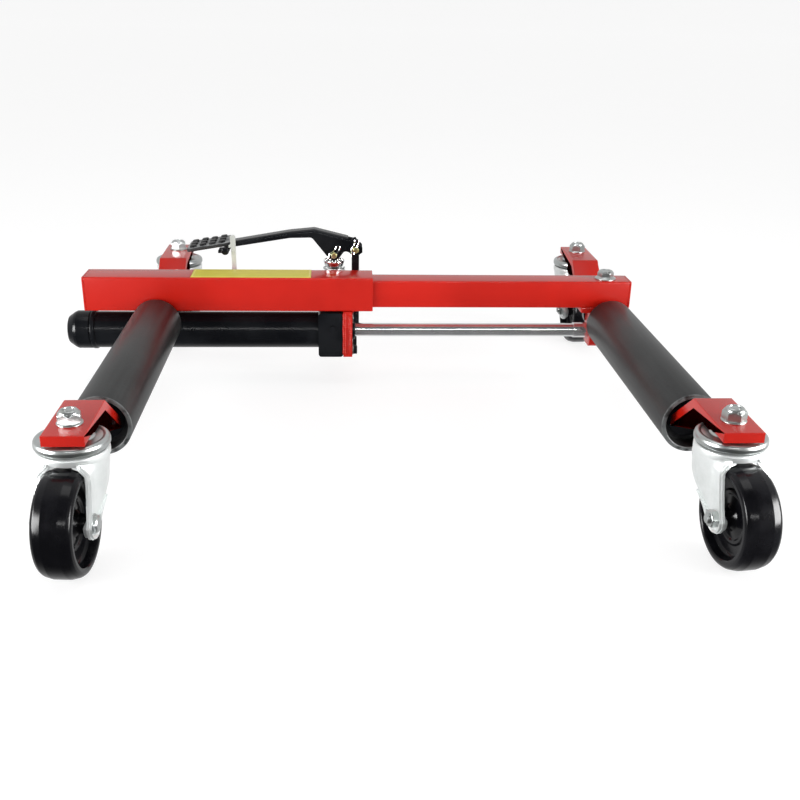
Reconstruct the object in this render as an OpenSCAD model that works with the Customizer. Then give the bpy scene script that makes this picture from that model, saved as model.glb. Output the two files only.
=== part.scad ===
// Hydraulic wheel dolly: two free-turning roller arms on a telescoping beam, four swivel casters,
// a foot-pumped ram that draws the arms together. +X runs along the beam, -Y is the tyre side,
// +Z is up and z = 0 is the floor.

/* [Beam] */
// Distance between the two roller axes with the beam fully out
arm_span = 600; // [560:10:640]
// Outside width of the outer square tube
outer_w = 45; // [44:0.5:46]
// Wall of the outer square tube
outer_wall = 4; // [3.5:0.25:4.25]
// Outside width of the inner square tube
inner_w = 36; // [34:0.5:36]
// Wall of the inner square tube
inner_wall = 4; // [3:0.5:5]
// Height of the middle of the beam above the floor
beam_z = 124.5; // [124:0.5:126]

/* [Rollers] */
// Outside diameter of a roller tube
roller_od = 63; // [62:0.5:64]
// Wall of a roller tube
roller_wall = 4.5; // [4:0.25:4.75]
// Length of a roller tube
roller_len = 347; // [330:1:350]
// Height of the roller axes above the floor
roller_z = 88; // [87:0.5:89]
// Outside diameter of the fixed axle tube inside a roller
axle_od = 30; // [28:1:32]

/* [Casters] */
// Caster wheel diameter
wheel_d = 100; // [98:1:102]
// Caster wheel width
wheel_w = 36; // [32:1:36]
// Distance that a wheel trails behind its kingpin
trail = 36; // [34:1:38]
// Diameter of the swivel plate
swivel_d = 68; // [66:1:72]
// Distance from the beam's middle to the front kingpins
front_y = 470; // [466:1:480]
// Distance from the beam's middle to the rear kingpins
rear_y = 205; // [200:1:212]

/* [Brackets] */
// Width of the flat bar that carries a caster
bar_w = 38; // [34:1:38]
// Thickness of that flat bar
bar_t = 10; // [8:0.5:11]
// Slope of its bent leg below level
bar_slope = 36; // [34:0.5:37]
// How far a bracket sits outboard of its roller axis
bracket_out = 2; // [0:0.5:3]

/* [Ram] */
// Outside diameter of the ram tube
ram_od = 48; // [46:1:49]
// Diameter of the piston rod
rod_d = 18; // [16:1:20]
// Height of the ram axis above the floor
ram_z = 70; // [69:0.5:71]

/* [Pedal] */
// Length of the pedal pad along the beam
pad_l = 60; // [50:1:64]
// Depth of the pedal pad across the beam
pad_w = 50; // [40:1:54]

/* [Hidden] */
$fn = 64;

RED = "#d2281c";
BLACK = "#17181a";
SATIN = "#2c2e30";
ZINC = "#c3c8ca";
CHROME = "#d9dcde";
GOLD = "#c9b45a";
YELLOW = "#e2c93c";
STEEL = "#8d9195";

// Places along and across the beam
arm_x = arm_span / 2;
caster_x = arm_x + bracket_out;
outer_x0 = -393;
outer_x1 = -18;
cap_t = 3;
inner_x0 = -110;
inner_x1 = arm_x + 27;
outer_top = beam_z + outer_w / 2;
outer_bottom = beam_z - outer_w / 2;
inner_top = beam_z + inner_w / 2;
inner_bottom = beam_z - inner_w / 2;
outer_corner = 3;
inner_corner = 2;

// Roller arms
roller_r = roller_od / 2;
bore_r = roller_r - roller_wall;
roller_y0 = -27;
axle_r = axle_od / 2;
axle_wall = 5;
fit = 0.05;
root_r = 25;
root_y = 30;
bush_l = 14;
bush_inset = 22;
retainer_r = 21;
retainer_t = 4;

// Casters: swivel plate, fork crown and legs, from the bracket down
wheel_r = wheel_d / 2;
swivel_r = swivel_d / 2;
bar_bottom = wheel_d + 21.5;
bar_top = bar_bottom + bar_t;
plate_under = bar_bottom - 3.5;
ball_r = 3;
ball_ring_r = 25;
balls = 18;
ball_z = plate_under - 2 - ball_r;
crown_top = ball_z - ball_r - 0.2;
crown_t = 4;
crown_r = 33;
kingpin_r = 6;
leg_x = wheel_w / 2 + 2.5;
leg_t = 3;
leg_tip_r = 11;
pin_r = 5;
sleeve_r = 6.5;
hub_r = 16;
hub_w = wheel_w + 3;
tread_flat = 24;

// Resting swivel angles of the four casters
yaw_fl = -4;
yaw_fr = 7;
yaw_rl = 3;
yaw_rr = 2;

// Bracket outline, measured from its kingpin towards the beam
bar_front = 30;
bar_bend = 57;
bar_low = 113;

// Ram and valve block
ram_r = ram_od / 2;
ram_bore_r = ram_r - 4;
ram_y = 2;
rod_r = rod_d / 2;
ram_x0 = -420;
ram_cap_x1 = -391;
block_x0 = -90;
block_x1 = -57;
block_y0 = -25;
block_y1 = 72;
block_z0 = 40;
block_z1 = 100;
block_corner = 4;
flange_x1 = -45;
flange_y1 = 62;
tube_seat = 10;
gland_r = 16;
collar_x0 = 257;
lug_x0 = 277;
lug_t = 12;
saddle_t = 7;
piston_x1 = -96;
piston_l = 22;
stud_r = 7;

// Pump and pedal
pump_x = -69;
pump_y = 50;
plunger_r = 8;
eye_z = 163;
pivot_x = -39.5;
pivot_z = 170.5;
hinge_pin_r = 4;
lever_w = 22;
sheet_t = 3;
pad_x0 = -267;
pad_z0 = 169.5;
pad_rise = 10;
pad_t = 4.5;
pad_y0 = 40;
pedal_bolt_x = -214;
pedal_bolt_z = 169;

// Latch
latch_x = -203;
latch_z = 122;
latch_nose = 174.5;
latch_top = 190;
latch_w = 6;
latch_y0 = 35.5;
latch_t = 2.5;

// Shift that puts the origin under the middle of the whole dolly
front_reach = front_y + (trail + wheel_r) * cos(yaw_fr) + tread_flat / 2 * sin(yaw_fr);
mid_x = (ram_x0 + caster_x + swivel_r) / 2;
mid_y = (rear_y + swivel_r - front_reach) / 2;

module placed() {
    translate([-mid_x, -mid_y, 0]) children();
}

// Outline helpers
module rounded_square(w, h, r) {
    square([w - 2 * r, h], center = true);
    square([w, h - 2 * r], center = true);
    for (x = [-1, 1], y = [-1, 1]) translate([x * (w / 2 - r), y * (h / 2 - r)]) circle(r);
}

module along_x(x0, x1, y = 0, z = 0) {
    translate([x0, y, z]) rotate([90, 0, 90]) linear_extrude(x1 - x0) children();
}

module rod_x(x0, x1, r, y = 0, z = 0) {
    translate([x0, y, z]) rotate([0, 90, 0]) cylinder(h = x1 - x0, r = r);
}

module rod_y(y0, y1, r, x = 0, z = 0) {
    translate([x, y0, z]) rotate([-90, 0, 0]) cylinder(h = y1 - y0, r = r);
}

module hex(af, h) {
    cylinder(h = h, r = af / 2 / cos(30), $fn = 6);
}

module domed_hex(af, h) {
    intersection() {
        hex(af, h);
        translate([0, 0, h - af * 0.95]) sphere(af * 0.95);
    }
}

// Outline in the X-Z plane, carried from y0 to y1
module side_plate(y0, y1) {
    translate([0, y1, 0]) rotate([90, 0, 0]) linear_extrude(y1 - y0) children();
}

// Turned shape about the X axis: outline points are [radius, x]
module turned_x(points, y = 0, z = 0) {
    translate([0, y, z]) rotate([0, 90, 0]) rotate_extrude() polygon(points);
}

module square_tube(x0, x1, w, wall, r) {
    difference() {
        along_x(x0, x1, 0, beam_z) rounded_square(w, w, r);
        along_x(x0 - 1, x1 + 1, 0, beam_z) rounded_square(w - 2 * wall, w - 2 * wall, r / 2);
    }
}

// Beam
module outer_beam() {
    color(RED) difference() {
        square_tube(outer_x0 + cap_t, outer_x1, outer_w, outer_wall, outer_corner);
        rod_y(outer_w / 2 - outer_wall - 1, outer_w / 2 + 1, 4, latch_x, latch_z);
    }
}

module outer_beam_cap() {
    color(RED) along_x(outer_x0, outer_x0 + cap_t, 0, beam_z)
        rounded_square(outer_w, outer_w, outer_corner);
}

module label_plate() {
    color(YELLOW) translate([-254, -20, outer_top]) cube([155, 40, 0.6]);
}

module inner_beam() {
    color(RED) difference() {
        square_tube(inner_x0, inner_x1 - cap_t, inner_w, inner_wall, inner_corner);
        translate([arm_x - 5, 0, inner_bottom - 1]) cylinder(h = inner_w + 2, r = kingpin_r);
    }
}

module inner_beam_cap() {
    color(RED) along_x(inner_x1 - cap_t, inner_x1, 0, beam_z)
        rounded_square(inner_w, inner_w, inner_corner);
}

// Plate under the sliding end of the beam, with the lug that the piston rod pulls on
module beam_saddle() {
    color(RED) difference() {
        union() {
            translate([arm_x - 38, -inner_w / 2, inner_bottom - saddle_t])
                cube([64, inner_w, saddle_t]);
            translate([lug_x0, -inner_w / 2, ram_z - 19])
                cube([lug_t, inner_w, inner_bottom - saddle_t - ram_z + 19]);
        }
        rod_x(lug_x0 - 1, lug_x0 + lug_t + 1, stud_r, ram_y, ram_z);
        translate([arm_x - 5, 0, inner_bottom - 8]) cylinder(h = 10, r = kingpin_r);
    }
}

module arm_bolt() {
    color(ZINC) translate([arm_x - 5, 0, 0]) {
        translate([0, 0, inner_bottom - saddle_t])
            cylinder(h = inner_w + saddle_t + 1, r = kingpin_r);
        translate([0, 0, inner_top]) cylinder(h = 2.5, r = 14);
        translate([0, 0, inner_top + 2.5]) domed_hex(19, 9);
    }
}

// Fixed axle inside a roller: root disc on the beam's face, tube and retaining collar
module roller_axle(face_y, y_end) {
    front = y_end < 0;
    s = front ? -1 : 1;
    root_a = min(s * face_y, s * root_y);
    root_b = max(s * face_y, s * root_y);
    tube_a = min(s * root_y, y_end);
    tube_b = max(s * root_y, y_end);
    difference() {
        union() {
            rod_y(root_a, root_b, root_r, 0, roller_z);
            rod_y(tube_a, tube_b, axle_r, 0, roller_z);
            if (front) rod_y(y_end, y_end + retainer_t, retainer_r, 0, roller_z);
        }
        rod_y(tube_a - 1, tube_b + 1, axle_r - axle_wall, 0, roller_z);
    }
}

front_axle_end = -(front_y - bar_low);
rear_stub_end = rear_y - bar_low;

module left_axle() {
    color(BLACK) difference() {
        translate([-arm_x, 0, 0]) roller_axle(outer_w / 2, front_axle_end);
        rod_x(-arm_x - 40, -arm_x + 40, ram_r + 1.5, ram_y, ram_z);
    }
}

module left_rear_stub() {
    color(BLACK) difference() {
        translate([-arm_x, 0, 0]) roller_axle(outer_w / 2, rear_stub_end);
        rod_x(-arm_x - 40, -arm_x + 40, ram_r + 1.5, ram_y, ram_z);
    }
}

module right_axle() {
    color(BLACK) translate([arm_x, 0, 0]) roller_axle(inner_w / 2, front_axle_end);
}

module right_rear_stub() {
    color(BLACK) translate([arm_x, 0, 0]) roller_axle(inner_w / 2, rear_stub_end);
}

module roller() {
    color(SATIN) difference() {
        rod_y(roller_y0 - roller_len, roller_y0, roller_r, 0, roller_z);
        rod_y(roller_y0 - roller_len - 1, roller_y0 + 1, bore_r, 0, roller_z);
    }
}

module roller_bushes() {
    front = roller_y0 - roller_len + bush_inset;
    rear = roller_y0 - bush_l - 10;
    color(STEEL) for (y = [front, rear]) difference() {
        rod_y(y, y + bush_l, bore_r, 0, roller_z);
        rod_y(y - 1, y + bush_l + 1, axle_r + fit, 0, roller_z);
    }
}

// Flat-bar bracket: level plate over the caster, then a leg that slopes down to the axle
module bracket_outline() {
    drop = (bar_low - bar_bend) * tan(bar_slope);
    upright_t = bar_t / cos(bar_slope);
    bend_back = (upright_t - bar_t) / tan(bar_slope);
    polygon([
        [-bar_front, bar_bottom], [-bar_front, bar_top], [bar_bend, bar_top],
        [bar_low, bar_top - drop], [bar_low, bar_top - drop - upright_t],
        [bar_bend - bend_back, bar_bottom],
    ]);
}

module bracket(side, front) {
    color(RED) difference() {
        translate([side * caster_x - bar_w / 2, front ? -front_y : rear_y, 0])
            mirror([0, front ? 0 : 1, 0])
                rotate([90, 0, 90]) linear_extrude(bar_w) bracket_outline();
        translate([side * caster_x, front ? -front_y : rear_y, bar_bottom - 1])
            cylinder(h = bar_t + 2, r = kingpin_r);
    }
}

// Casters, each about its own kingpin
module at_caster(x, y, yaw) {
    translate([x, y, 0]) rotate(yaw) children();
}

module front_left() { at_caster(-caster_x, -front_y, yaw_fl) children(); }
module front_right() { at_caster(caster_x, -front_y, yaw_fr) children(); }
module rear_left() { at_caster(-caster_x, rear_y, yaw_rl) children(); }
module rear_right() { at_caster(caster_x, rear_y, yaw_rr) children(); }

module swivel_plate() {
    color(ZINC) rotate_extrude() polygon([
        [kingpin_r, bar_bottom], [22, bar_bottom], [25, bar_bottom - 1.5],
        [swivel_r - 3, bar_bottom - 2.5], [swivel_r - 0.8, bar_bottom - 4],
        [swivel_r, bar_bottom - 6], [swivel_r, bar_bottom - 9], [swivel_r - 2.5, bar_bottom - 11],
        [swivel_r - 4, bar_bottom - 10], [swivel_r - 4, bar_bottom - 6.5],
        [swivel_r - 5.5, plate_under - 2], [21.5, plate_under - 2], [19, plate_under],
        [kingpin_r, plate_under],
    ]);
}

module kingpin() {
    head_z = crown_top - crown_t - 1;
    translate([0, 0, head_z - 6]) hex(17, 6);
    translate([0, 0, head_z - 1]) cylinder(h = bar_top + 12 - head_z, r = kingpin_r);
    translate([0, 0, crown_top + fit]) cylinder(h = plate_under - crown_top - fit, r = 10);
    translate([0, 0, bar_top]) cylinder(h = 2.2, r = 13);
    translate([0, 0, bar_top + 2.2]) hex(20, 8.5);
    translate([0, 0, bar_top + 10.6]) cylinder(h = 2.8, r = 8.5);
}

module swivel_balls() {
    color(STEEL) for (i = [0 : balls - 1])
        rotate(i * 360 / balls) translate([ball_ring_r, 0, ball_z]) sphere(ball_r);
}

module leg_outline() {
    crown_z = crown_top - 1;
    translate([-trail, wheel_r]) circle(leg_tip_r);
    polygon([
        [26, crown_z], [-29, crown_z], [-31, crown_z - 10],
        [-trail - leg_tip_r, wheel_r + 2], [-trail + leg_tip_r - 1, wheel_r - 3],
        [27, crown_z - 18],
    ]);
}

module fork() {
    color(ZINC) difference() {
        union() {
            translate([0, 0, crown_top - crown_t]) cylinder(h = crown_t, r = crown_r);
            for (x = [-leg_x - leg_t, leg_x])
                translate([x, 0, 0]) rotate([90, 0, 90]) linear_extrude(leg_t) leg_outline();
        }
        translate([0, 0, crown_top - crown_t - 1]) cylinder(h = crown_t + 2, r = kingpin_r + fit);
        for (x = [-leg_x - leg_t - 1, leg_x - 1]) rod_x(x, x + leg_t + 2, pin_r, -trail, wheel_r);
    }
}

module axle_bolt(head_side) {
    out = leg_x + leg_t;
    color(ZINC) translate([0, -trail, wheel_r]) mirror([head_side < 0 ? 1 : 0, 0, 0]) {
        rod_x(-out - 9, out + 1, pin_r);
        rod_x(-leg_x, leg_x, sleeve_r);
        translate([out, 0, 0]) rotate([0, 90, 0]) domed_hex(15, 4.5);
        translate([-out - 6.5, 0, 0]) rotate([0, 90, 0]) hex(15, 6.5);
    }
}

module wheel() {
    rim = wheel_w / 2;
    color(BLACK) turned_x([
        [sleeve_r + fit, -hub_w / 2], [hub_r, -hub_w / 2], [hub_r + 1.5, -7],
        [wheel_r - 12, -6], [wheel_r - 10, -rim + 1], [wheel_r - 9, -rim],
        [wheel_r - 3, -rim], [wheel_r, -tread_flat / 2], [wheel_r, tread_flat / 2],
        [wheel_r - 3, rim], [wheel_r - 9, rim], [wheel_r - 10, rim - 1],
        [wheel_r - 12, 6], [hub_r + 1.5, 7], [hub_r, hub_w / 2], [sleeve_r + fit, hub_w / 2],
    ], -trail, wheel_r);
}

// Ram
module ram_tube() {
    color(BLACK) difference() {
        union() {
            rod_x(ram_x0 + 10, block_x0 + tube_seat, ram_r, ram_y, ram_z);
            rod_x(ram_cap_x1 + 1.5, ram_cap_x1 + 7, ram_r + 1.5, ram_y, ram_z);
        }
        rod_x(ram_x0 + 9, block_x0 + tube_seat + 1, ram_bore_r, ram_y, ram_z);
    }
}

module ram_end_cap() {
    r = ram_r + 1;
    color(BLACK) turned_x([
        [0, ram_x0], [r - 8, ram_x0], [r - 1, ram_x0 + 9], [r, ram_x0 + 11],
        [r, ram_cap_x1], [ram_r, ram_cap_x1], [ram_r, ram_x0 + 10], [0, ram_x0 + 10],
    ], ram_y, ram_z);
}

module valve_block() {
    color(BLACK) difference() {
        side_plate(block_y0, block_y1)
            translate([(block_x0 + block_x1) / 2, (block_z0 + block_z1) / 2])
                rounded_square(block_x1 - block_x0, block_z1 - block_z0, block_corner);
        rod_x(block_x0 - 1, block_x0 + tube_seat, ram_r, ram_y, ram_z);
        rod_x(block_x0 + tube_seat - 1, block_x1 + 1, gland_r, ram_y, ram_z);
        translate([pump_x, pump_y, 60]) cylinder(h = 60, r = plunger_r + fit);
        rod_y(block_y1 - 14, block_y1 + 1, 4 + fit, -73, 58);
        rod_y(block_y0 - 1, block_y0 + 3, 3.5, -71, 80);
    }
}

module flange_plate() {
    color(RED) difference() {
        translate([block_x1, block_y0, block_z0])
            cube([flange_x1 - block_x1, flange_y1 - block_y0, outer_bottom - block_z0]);
        rod_x(block_x1 - 1, flange_x1 + 1, 13, ram_y, ram_z);
        for (y = [-17, 21], z = [48, 92]) rod_x(block_x1 - 1, flange_x1 + 1, 4, y, z);
    }
}

module block_bolts() {
    color(BLACK) for (y = [-17, 21], z = [48, 92]) {
        rod_x(block_x1, flange_x1, 4, y, z);
        rod_x(flange_x1, flange_x1 + 1.5, 7, y, z);
        translate([flange_x1 + 1.5, y, z]) rotate([0, 90, 0]) hex(11, 5);
    }
    color(STEEL) rod_y(block_y0 - 0.5, block_y0 + 3, 3.5, -71, 80);
}

module rod_gland() {
    color(BLACK) difference() {
        union() {
            rod_x(block_x0 + tube_seat, block_x1, gland_r, ram_y, ram_z);
            rod_x(block_x1, flange_x1 + 4, 13, ram_y, ram_z);
        }
        rod_x(block_x0, flange_x1 + 5, rod_r + fit, ram_y, ram_z);
    }
}

module piston_rod() {
    color(CHROME) {
        rod_x(piston_x1, lug_x0, rod_r, ram_y, ram_z);
        rod_x(lug_x0 - 0.5, lug_x0 + lug_t + 16, stud_r, ram_y, ram_z);
        rod_x(collar_x0, lug_x0, rod_r + 1.2, ram_y, ram_z);
    }
}

module piston() {
    color(STEEL) difference() {
        rod_x(piston_x1 - piston_l, piston_x1, ram_bore_r - fit, ram_y, ram_z);
        for (x = [5, 13])
            difference() {
                rod_x(piston_x1 - x - 4, piston_x1 - x, ram_r, ram_y, ram_z);
                rod_x(piston_x1 - x - 5, piston_x1 - x + 1, ram_bore_r - 2, ram_y, ram_z);
            }
    }
}

module rod_nut() {
    color(ZINC) difference() {
        union() {
            rod_x(lug_x0 + lug_t, lug_x0 + lug_t + 2, 13, ram_y, ram_z);
            translate([lug_x0 + lug_t + 2, ram_y, ram_z]) rotate([0, 90, 0]) hex(22, 11);
        }
        rod_x(lug_x0 + lug_t - 1, lug_x0 + lug_t + 14, stud_r, ram_y, ram_z);
    }
}

// Foot pump
module pump_cylinder() {
    color(BLACK) difference() {
        union() {
            translate([pump_x, pump_y, block_z1]) cylinder(h = 24, r = 11);
            translate([pump_x, pump_y, block_z1]) cylinder(h = 6, r = 12, $fn = 6);
        }
        translate([pump_x, pump_y, block_z1 - 1]) cylinder(h = 30, r = plunger_r + fit);
    }
}

module pump_plunger() {
    color(CHROME) difference() {
        union() {
            translate([pump_x, pump_y, 66]) cylinder(h = eye_z - 66 - 4, r = plunger_r);
            intersection() {
                rod_y(pump_y - 5.5, pump_y + 5.5, 7, pump_x, eye_z);
                translate([pump_x - 7, pump_y - 5.5, eye_z - 8]) cube([14, 11, 15]);
            }
        }
        for (x = [-1.2, 1.2]) rod_y(pump_y - 9, pump_y + 9, hinge_pin_r + 0.4, pump_x + x, eye_z);
        translate([pump_x - 1.2, pump_y - 9, eye_z - hinge_pin_r - 0.4])
            cube([2.4, 18, 2 * hinge_pin_r + 0.8]);
        for (y = [pump_y - 9.6, pump_y + 5.5])
            translate([pump_x - 9, y, eye_z - 9]) cube([18, 4.1, 20]);
    }
}

module spring_cap() {
    color(CHROME) translate([pump_x, pump_y, 0]) difference() {
        rotate_extrude() polygon([
            [plunger_r, 143.5], [10, 143.5], [13, 147], [14.2, 150], [14.2, 152.5],
            [13, 154.5], [plunger_r, 154.5],
        ]);
        translate([0, 0, 142.5]) difference() {
            cylinder(h = 2.5, r = 20);
            translate([0, 0, -1]) cylinder(h = 5, r = 10.2);
        }
    }
}

spring_z0 = block_z1 + 6;
spring_z1 = 145;
spring_turns = 5;
spring_outer_r = 15;
spring_wire = 2.5;

// A half ring that climbs as it turns leaves a coil whose wire is half a pitch high
module pump_spring() {
    color(ZINC) translate([pump_x, pump_y, spring_z0])
        linear_extrude(
            height = spring_z1 - spring_z0, twist = -360 * spring_turns,
            slices = 8 * spring_turns
        ) difference() {
            circle(spring_outer_r, $fn = 16);
            circle(spring_outer_r - spring_wire, $fn = 16);
            translate([-20, -40]) square(40);
        }
}

module fulcrum_bar() {
    color(BLACK) difference() {
        union() {
            translate([flange_x1, pump_y - 5, 56]) cube([10, 10, pivot_z - 56]);
            rod_y(pump_y - 5, pump_y + 5, 7, pivot_x, pivot_z);
        }
        rod_y(pump_y - 6, pump_y + 6, hinge_pin_r + fit, pivot_x, pivot_z);
    }
}

module cheek_outline() {
    translate([pivot_x, pivot_z]) circle(9.5);
    translate([pump_x, eye_z]) circle(6.8);
    polygon([
        [-224, 164.5], [-224, 169.5], [-207, 174], [-207, 180.5], [-128, 194], [-95, 197.5],
        [-45, 185], [-39, 188], [-31.5, 176], [pivot_x, pivot_z - 6], [-54, 167.5],
        [pump_x + 6, eye_z - 3], [pump_x, eye_z - 5], [pump_x - 6, eye_z - 2.5], [-98, 186],
        [-128, 187], [-207, 172.5], [-210, 164.5],
    ]);
}

module flange_outline() {
    polygon([
        [-207, 180.5], [-128, 194], [-95, 197.5], [-48, 185.7],
        [-48, 182.4], [-95, 194.2], [-128, 190.8], [-207, 177.2],
    ]);
}

module pedal_lever() {
    y0 = pump_y - lever_w / 2;
    y1 = pump_y + lever_w / 2;
    color(BLACK) difference() {
        union() {
            side_plate(y0, y0 + sheet_t) cheek_outline();
            side_plate(y1 - sheet_t, y1) cheek_outline();
            side_plate(y0, y1) flange_outline();
        }
        rod_y(y0 - 1, y1 + 1, hinge_pin_r, pump_x, eye_z);
        rod_y(y0 - 1, y1 + 1, hinge_pin_r, pivot_x, pivot_z);
        rod_y(y0 - 1, y1 + 1, 3, pedal_bolt_x, pedal_bolt_z);
    }
}

// Pad with four rows of raised grips
module pedal_pad() {
    slope = atan(pad_rise / pad_l);
    color(SATIN) translate([pad_x0, pad_y0, pad_z0]) rotate([0, -slope, 0]) {
        translate([0, 0, -pad_t]) cube([pad_l, pad_w, pad_t]);
        for (i = [0 : 3], j = [0 : 2])
            translate([6 + i * 13, 5 + j * 15 + (i % 2) * 2, 0]) cube([5, 8, 2.6]);
    }
}

module pedal_pins() {
    y0 = pump_y - lever_w / 2;
    y1 = pump_y + lever_w / 2;
    color(GOLD) for (p = [[pump_x, eye_z], [pivot_x, pivot_z]]) {
        rod_y(y0 - 4, y1 + 1, hinge_pin_r, p[0], p[1]);
        rod_y(y1, y1 + 2.5, 6, p[0], p[1]);
    }
}

module pedal_bolt() {
    y0 = pump_y - lever_w / 2;
    y1 = pump_y + lever_w / 2;
    color(BLACK) {
        rod_y(y0 - 5, y1 + 5, 3, pedal_bolt_x, pedal_bolt_z);
        translate([pedal_bolt_x, y0 - 8.5, pedal_bolt_z]) rotate([-90, 0, 0]) hex(8, 4);
        translate([pedal_bolt_x, y1, pedal_bolt_z]) rotate([-90, 0, 0]) hex(8, 4);
    }
}

// Latch that hooks over the pedal bolt
module latch_pivot_bolt() {
    color(ZINC) {
        rod_y(outer_w / 2 - outer_wall, latch_y0 + latch_t + 1, 4, latch_x, latch_z);
        rod_y(outer_w / 2, latch_y0 - 0.3, 6, latch_x, latch_z);
        translate([latch_x, latch_y0 + latch_t + 0.3, latch_z]) rotate([-90, 0, 0]) hex(11, 4);
    }
}

module latch_hook() {
    x0 = latch_x - latch_w / 2;
    x1 = latch_x + latch_w / 2;
    color(ZINC) difference() {
        union() {
            rod_y(latch_y0, latch_y0 + latch_t, 7, latch_x, latch_z);
            side_plate(latch_y0, latch_y0 + latch_t) polygon([
                [x0, latch_z + 4.5], [x0, latch_nose - 1.4], [x0 - 3.5, latch_nose - 1.4],
                [x0 - 3.5, latch_nose + 1.4], [x0 - 1, latch_nose + 3], [x0 - 1, latch_top - 2],
                [x0 + 1, latch_top], [x1 - 1.5, latch_top], [x1, latch_top - 2],
                [x1, latch_z + 4.5],
            ]);
        }
        rod_y(latch_y0 - 1, latch_y0 + latch_t + 1, 4 + fit, latch_x, latch_z);
    }
}

// Release valve knob on the back of the valve block
module release_knob() {
    color(BLACK) translate([-73, 0, 58]) {
        rod_y(block_y1 - 12, block_y1 + 8, 4);
        difference() {
            rod_y(block_y1 + 5, block_y1 + 19, 11);
            for (i = [0 : 11])
                rotate([0, i * 30, 0]) rod_y(block_y1 + 4, block_y1 + 20, 1.2, 11.3, 0);
        }
    }
}

// The two kingpins, or the two ball rings, of one side of the dolly
module kingpin_pair(side) {
    color(ZINC) for (y = [-front_y, rear_y]) translate([side * caster_x, y, 0]) kingpin();
}

module ball_pair(side) {
    for (y = [-front_y, rear_y]) translate([side * caster_x, y, 0]) swivel_balls();
}

placed() outer_beam();
placed() outer_beam_cap();
placed() label_plate();
placed() left_axle();
placed() left_rear_stub();
placed() bracket(-1, true);  // left_front_bracket
placed() bracket(-1, false);  // left_rear_bracket
placed() ram_tube();
placed() ram_end_cap();
placed() valve_block();
placed() flange_plate();
placed() block_bolts();
placed() rod_gland();
placed() pump_cylinder();
placed() fulcrum_bar();
placed() latch_pivot_bolt();
placed() kingpin_pair(-1);  // left_kingpins
placed() ball_pair(-1);  // left_swivel_balls
placed() front_left() swivel_plate();  // front_left_swivel_plate
placed() rear_left() swivel_plate();  // rear_left_swivel_plate
placed() translate([-arm_x, 0, 0]) roller();  // left_roller
placed() translate([-arm_x, 0, 0]) roller_bushes();  // left_roller_bushes
placed() inner_beam();
placed() inner_beam_cap();
placed() beam_saddle();
placed() arm_bolt();
placed() right_axle();
placed() right_rear_stub();
placed() bracket(1, true);  // right_front_bracket
placed() bracket(1, false);  // right_rear_bracket
placed() piston_rod();
placed() piston();
placed() rod_nut();
placed() kingpin_pair(1);  // right_kingpins
placed() ball_pair(1);  // right_swivel_balls
placed() front_right() swivel_plate();  // front_right_swivel_plate
placed() rear_right() swivel_plate();  // rear_right_swivel_plate
placed() translate([arm_x, 0, 0]) roller();  // right_roller
placed() translate([arm_x, 0, 0]) roller_bushes();  // right_roller_bushes
placed() front_left() fork();  // front_left_fork
placed() front_left() axle_bolt(1);  // front_left_axle_bolt
placed() front_left() wheel();  // front_left_wheel
placed() rear_left() fork();  // rear_left_fork
placed() rear_left() axle_bolt(1);  // rear_left_axle_bolt
placed() rear_left() wheel();  // rear_left_wheel
placed() front_right() fork();  // front_right_fork
placed() front_right() axle_bolt(1);  // front_right_axle_bolt
placed() front_right() wheel();  // front_right_wheel
placed() rear_right() fork();  // rear_right_fork
placed() rear_right() axle_bolt(1);  // rear_right_axle_bolt
placed() rear_right() wheel();  // rear_right_wheel
placed() pedal_lever();
placed() pedal_pad();
placed() pedal_pins();
placed() pedal_bolt();
placed() pump_plunger();
placed() spring_cap();
placed() pump_spring();
placed() latch_hook();
placed() release_knob();
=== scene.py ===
"""Wheel dolly: finished pieces, paints and studio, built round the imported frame."""

import math

import bmesh
import bpy
import numpy as np
from bpy.props import FloatProperty, FloatVectorProperty, PointerProperty
from mathutils import Euler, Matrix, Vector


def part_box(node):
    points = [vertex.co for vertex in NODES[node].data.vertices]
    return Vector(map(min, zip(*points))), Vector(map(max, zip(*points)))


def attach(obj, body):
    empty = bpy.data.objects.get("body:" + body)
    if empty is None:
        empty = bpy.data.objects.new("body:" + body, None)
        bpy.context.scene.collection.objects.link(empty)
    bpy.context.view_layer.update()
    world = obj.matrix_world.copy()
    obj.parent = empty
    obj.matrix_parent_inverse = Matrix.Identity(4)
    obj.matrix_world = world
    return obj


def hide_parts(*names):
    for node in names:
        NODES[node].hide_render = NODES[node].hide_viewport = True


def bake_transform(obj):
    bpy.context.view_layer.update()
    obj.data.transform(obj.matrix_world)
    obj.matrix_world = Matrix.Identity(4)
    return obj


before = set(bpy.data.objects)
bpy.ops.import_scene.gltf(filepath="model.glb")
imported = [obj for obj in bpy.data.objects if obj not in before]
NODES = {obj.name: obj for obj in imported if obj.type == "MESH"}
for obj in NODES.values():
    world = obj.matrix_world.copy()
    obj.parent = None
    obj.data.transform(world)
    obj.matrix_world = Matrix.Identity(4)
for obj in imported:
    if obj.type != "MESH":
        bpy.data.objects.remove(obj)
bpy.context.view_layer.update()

bl_info = {
    "name": "Wheel dolly",
    "version": (1, 0, 0),
    "blender": (4, 5, 0),
    "location": "3D View > Sidebar > Dolly",
    "description": "Builds the finished pieces of a hydraulic wheel dolly on its frame",
    "category": "Object",
}

MM = 0.001


def low(node):
    """Lowest corner of a frame node, in metres."""
    return np.array(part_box(node)[0])


def high(node):
    """Highest corner of a frame node, in metres."""
    return np.array(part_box(node)[1])


def middle(node):
    """Middle of a frame node's box, in metres."""
    return (low(node) + high(node)) / 2


# Workshop origin: on the floor, under the beam's centre line, halfway between the rollers
ORIGIN = np.array([
    (middle("left_roller")[0] + middle("right_roller")[0]) / 2,
    middle("outer_beam")[1],
    0.0,
])


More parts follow.
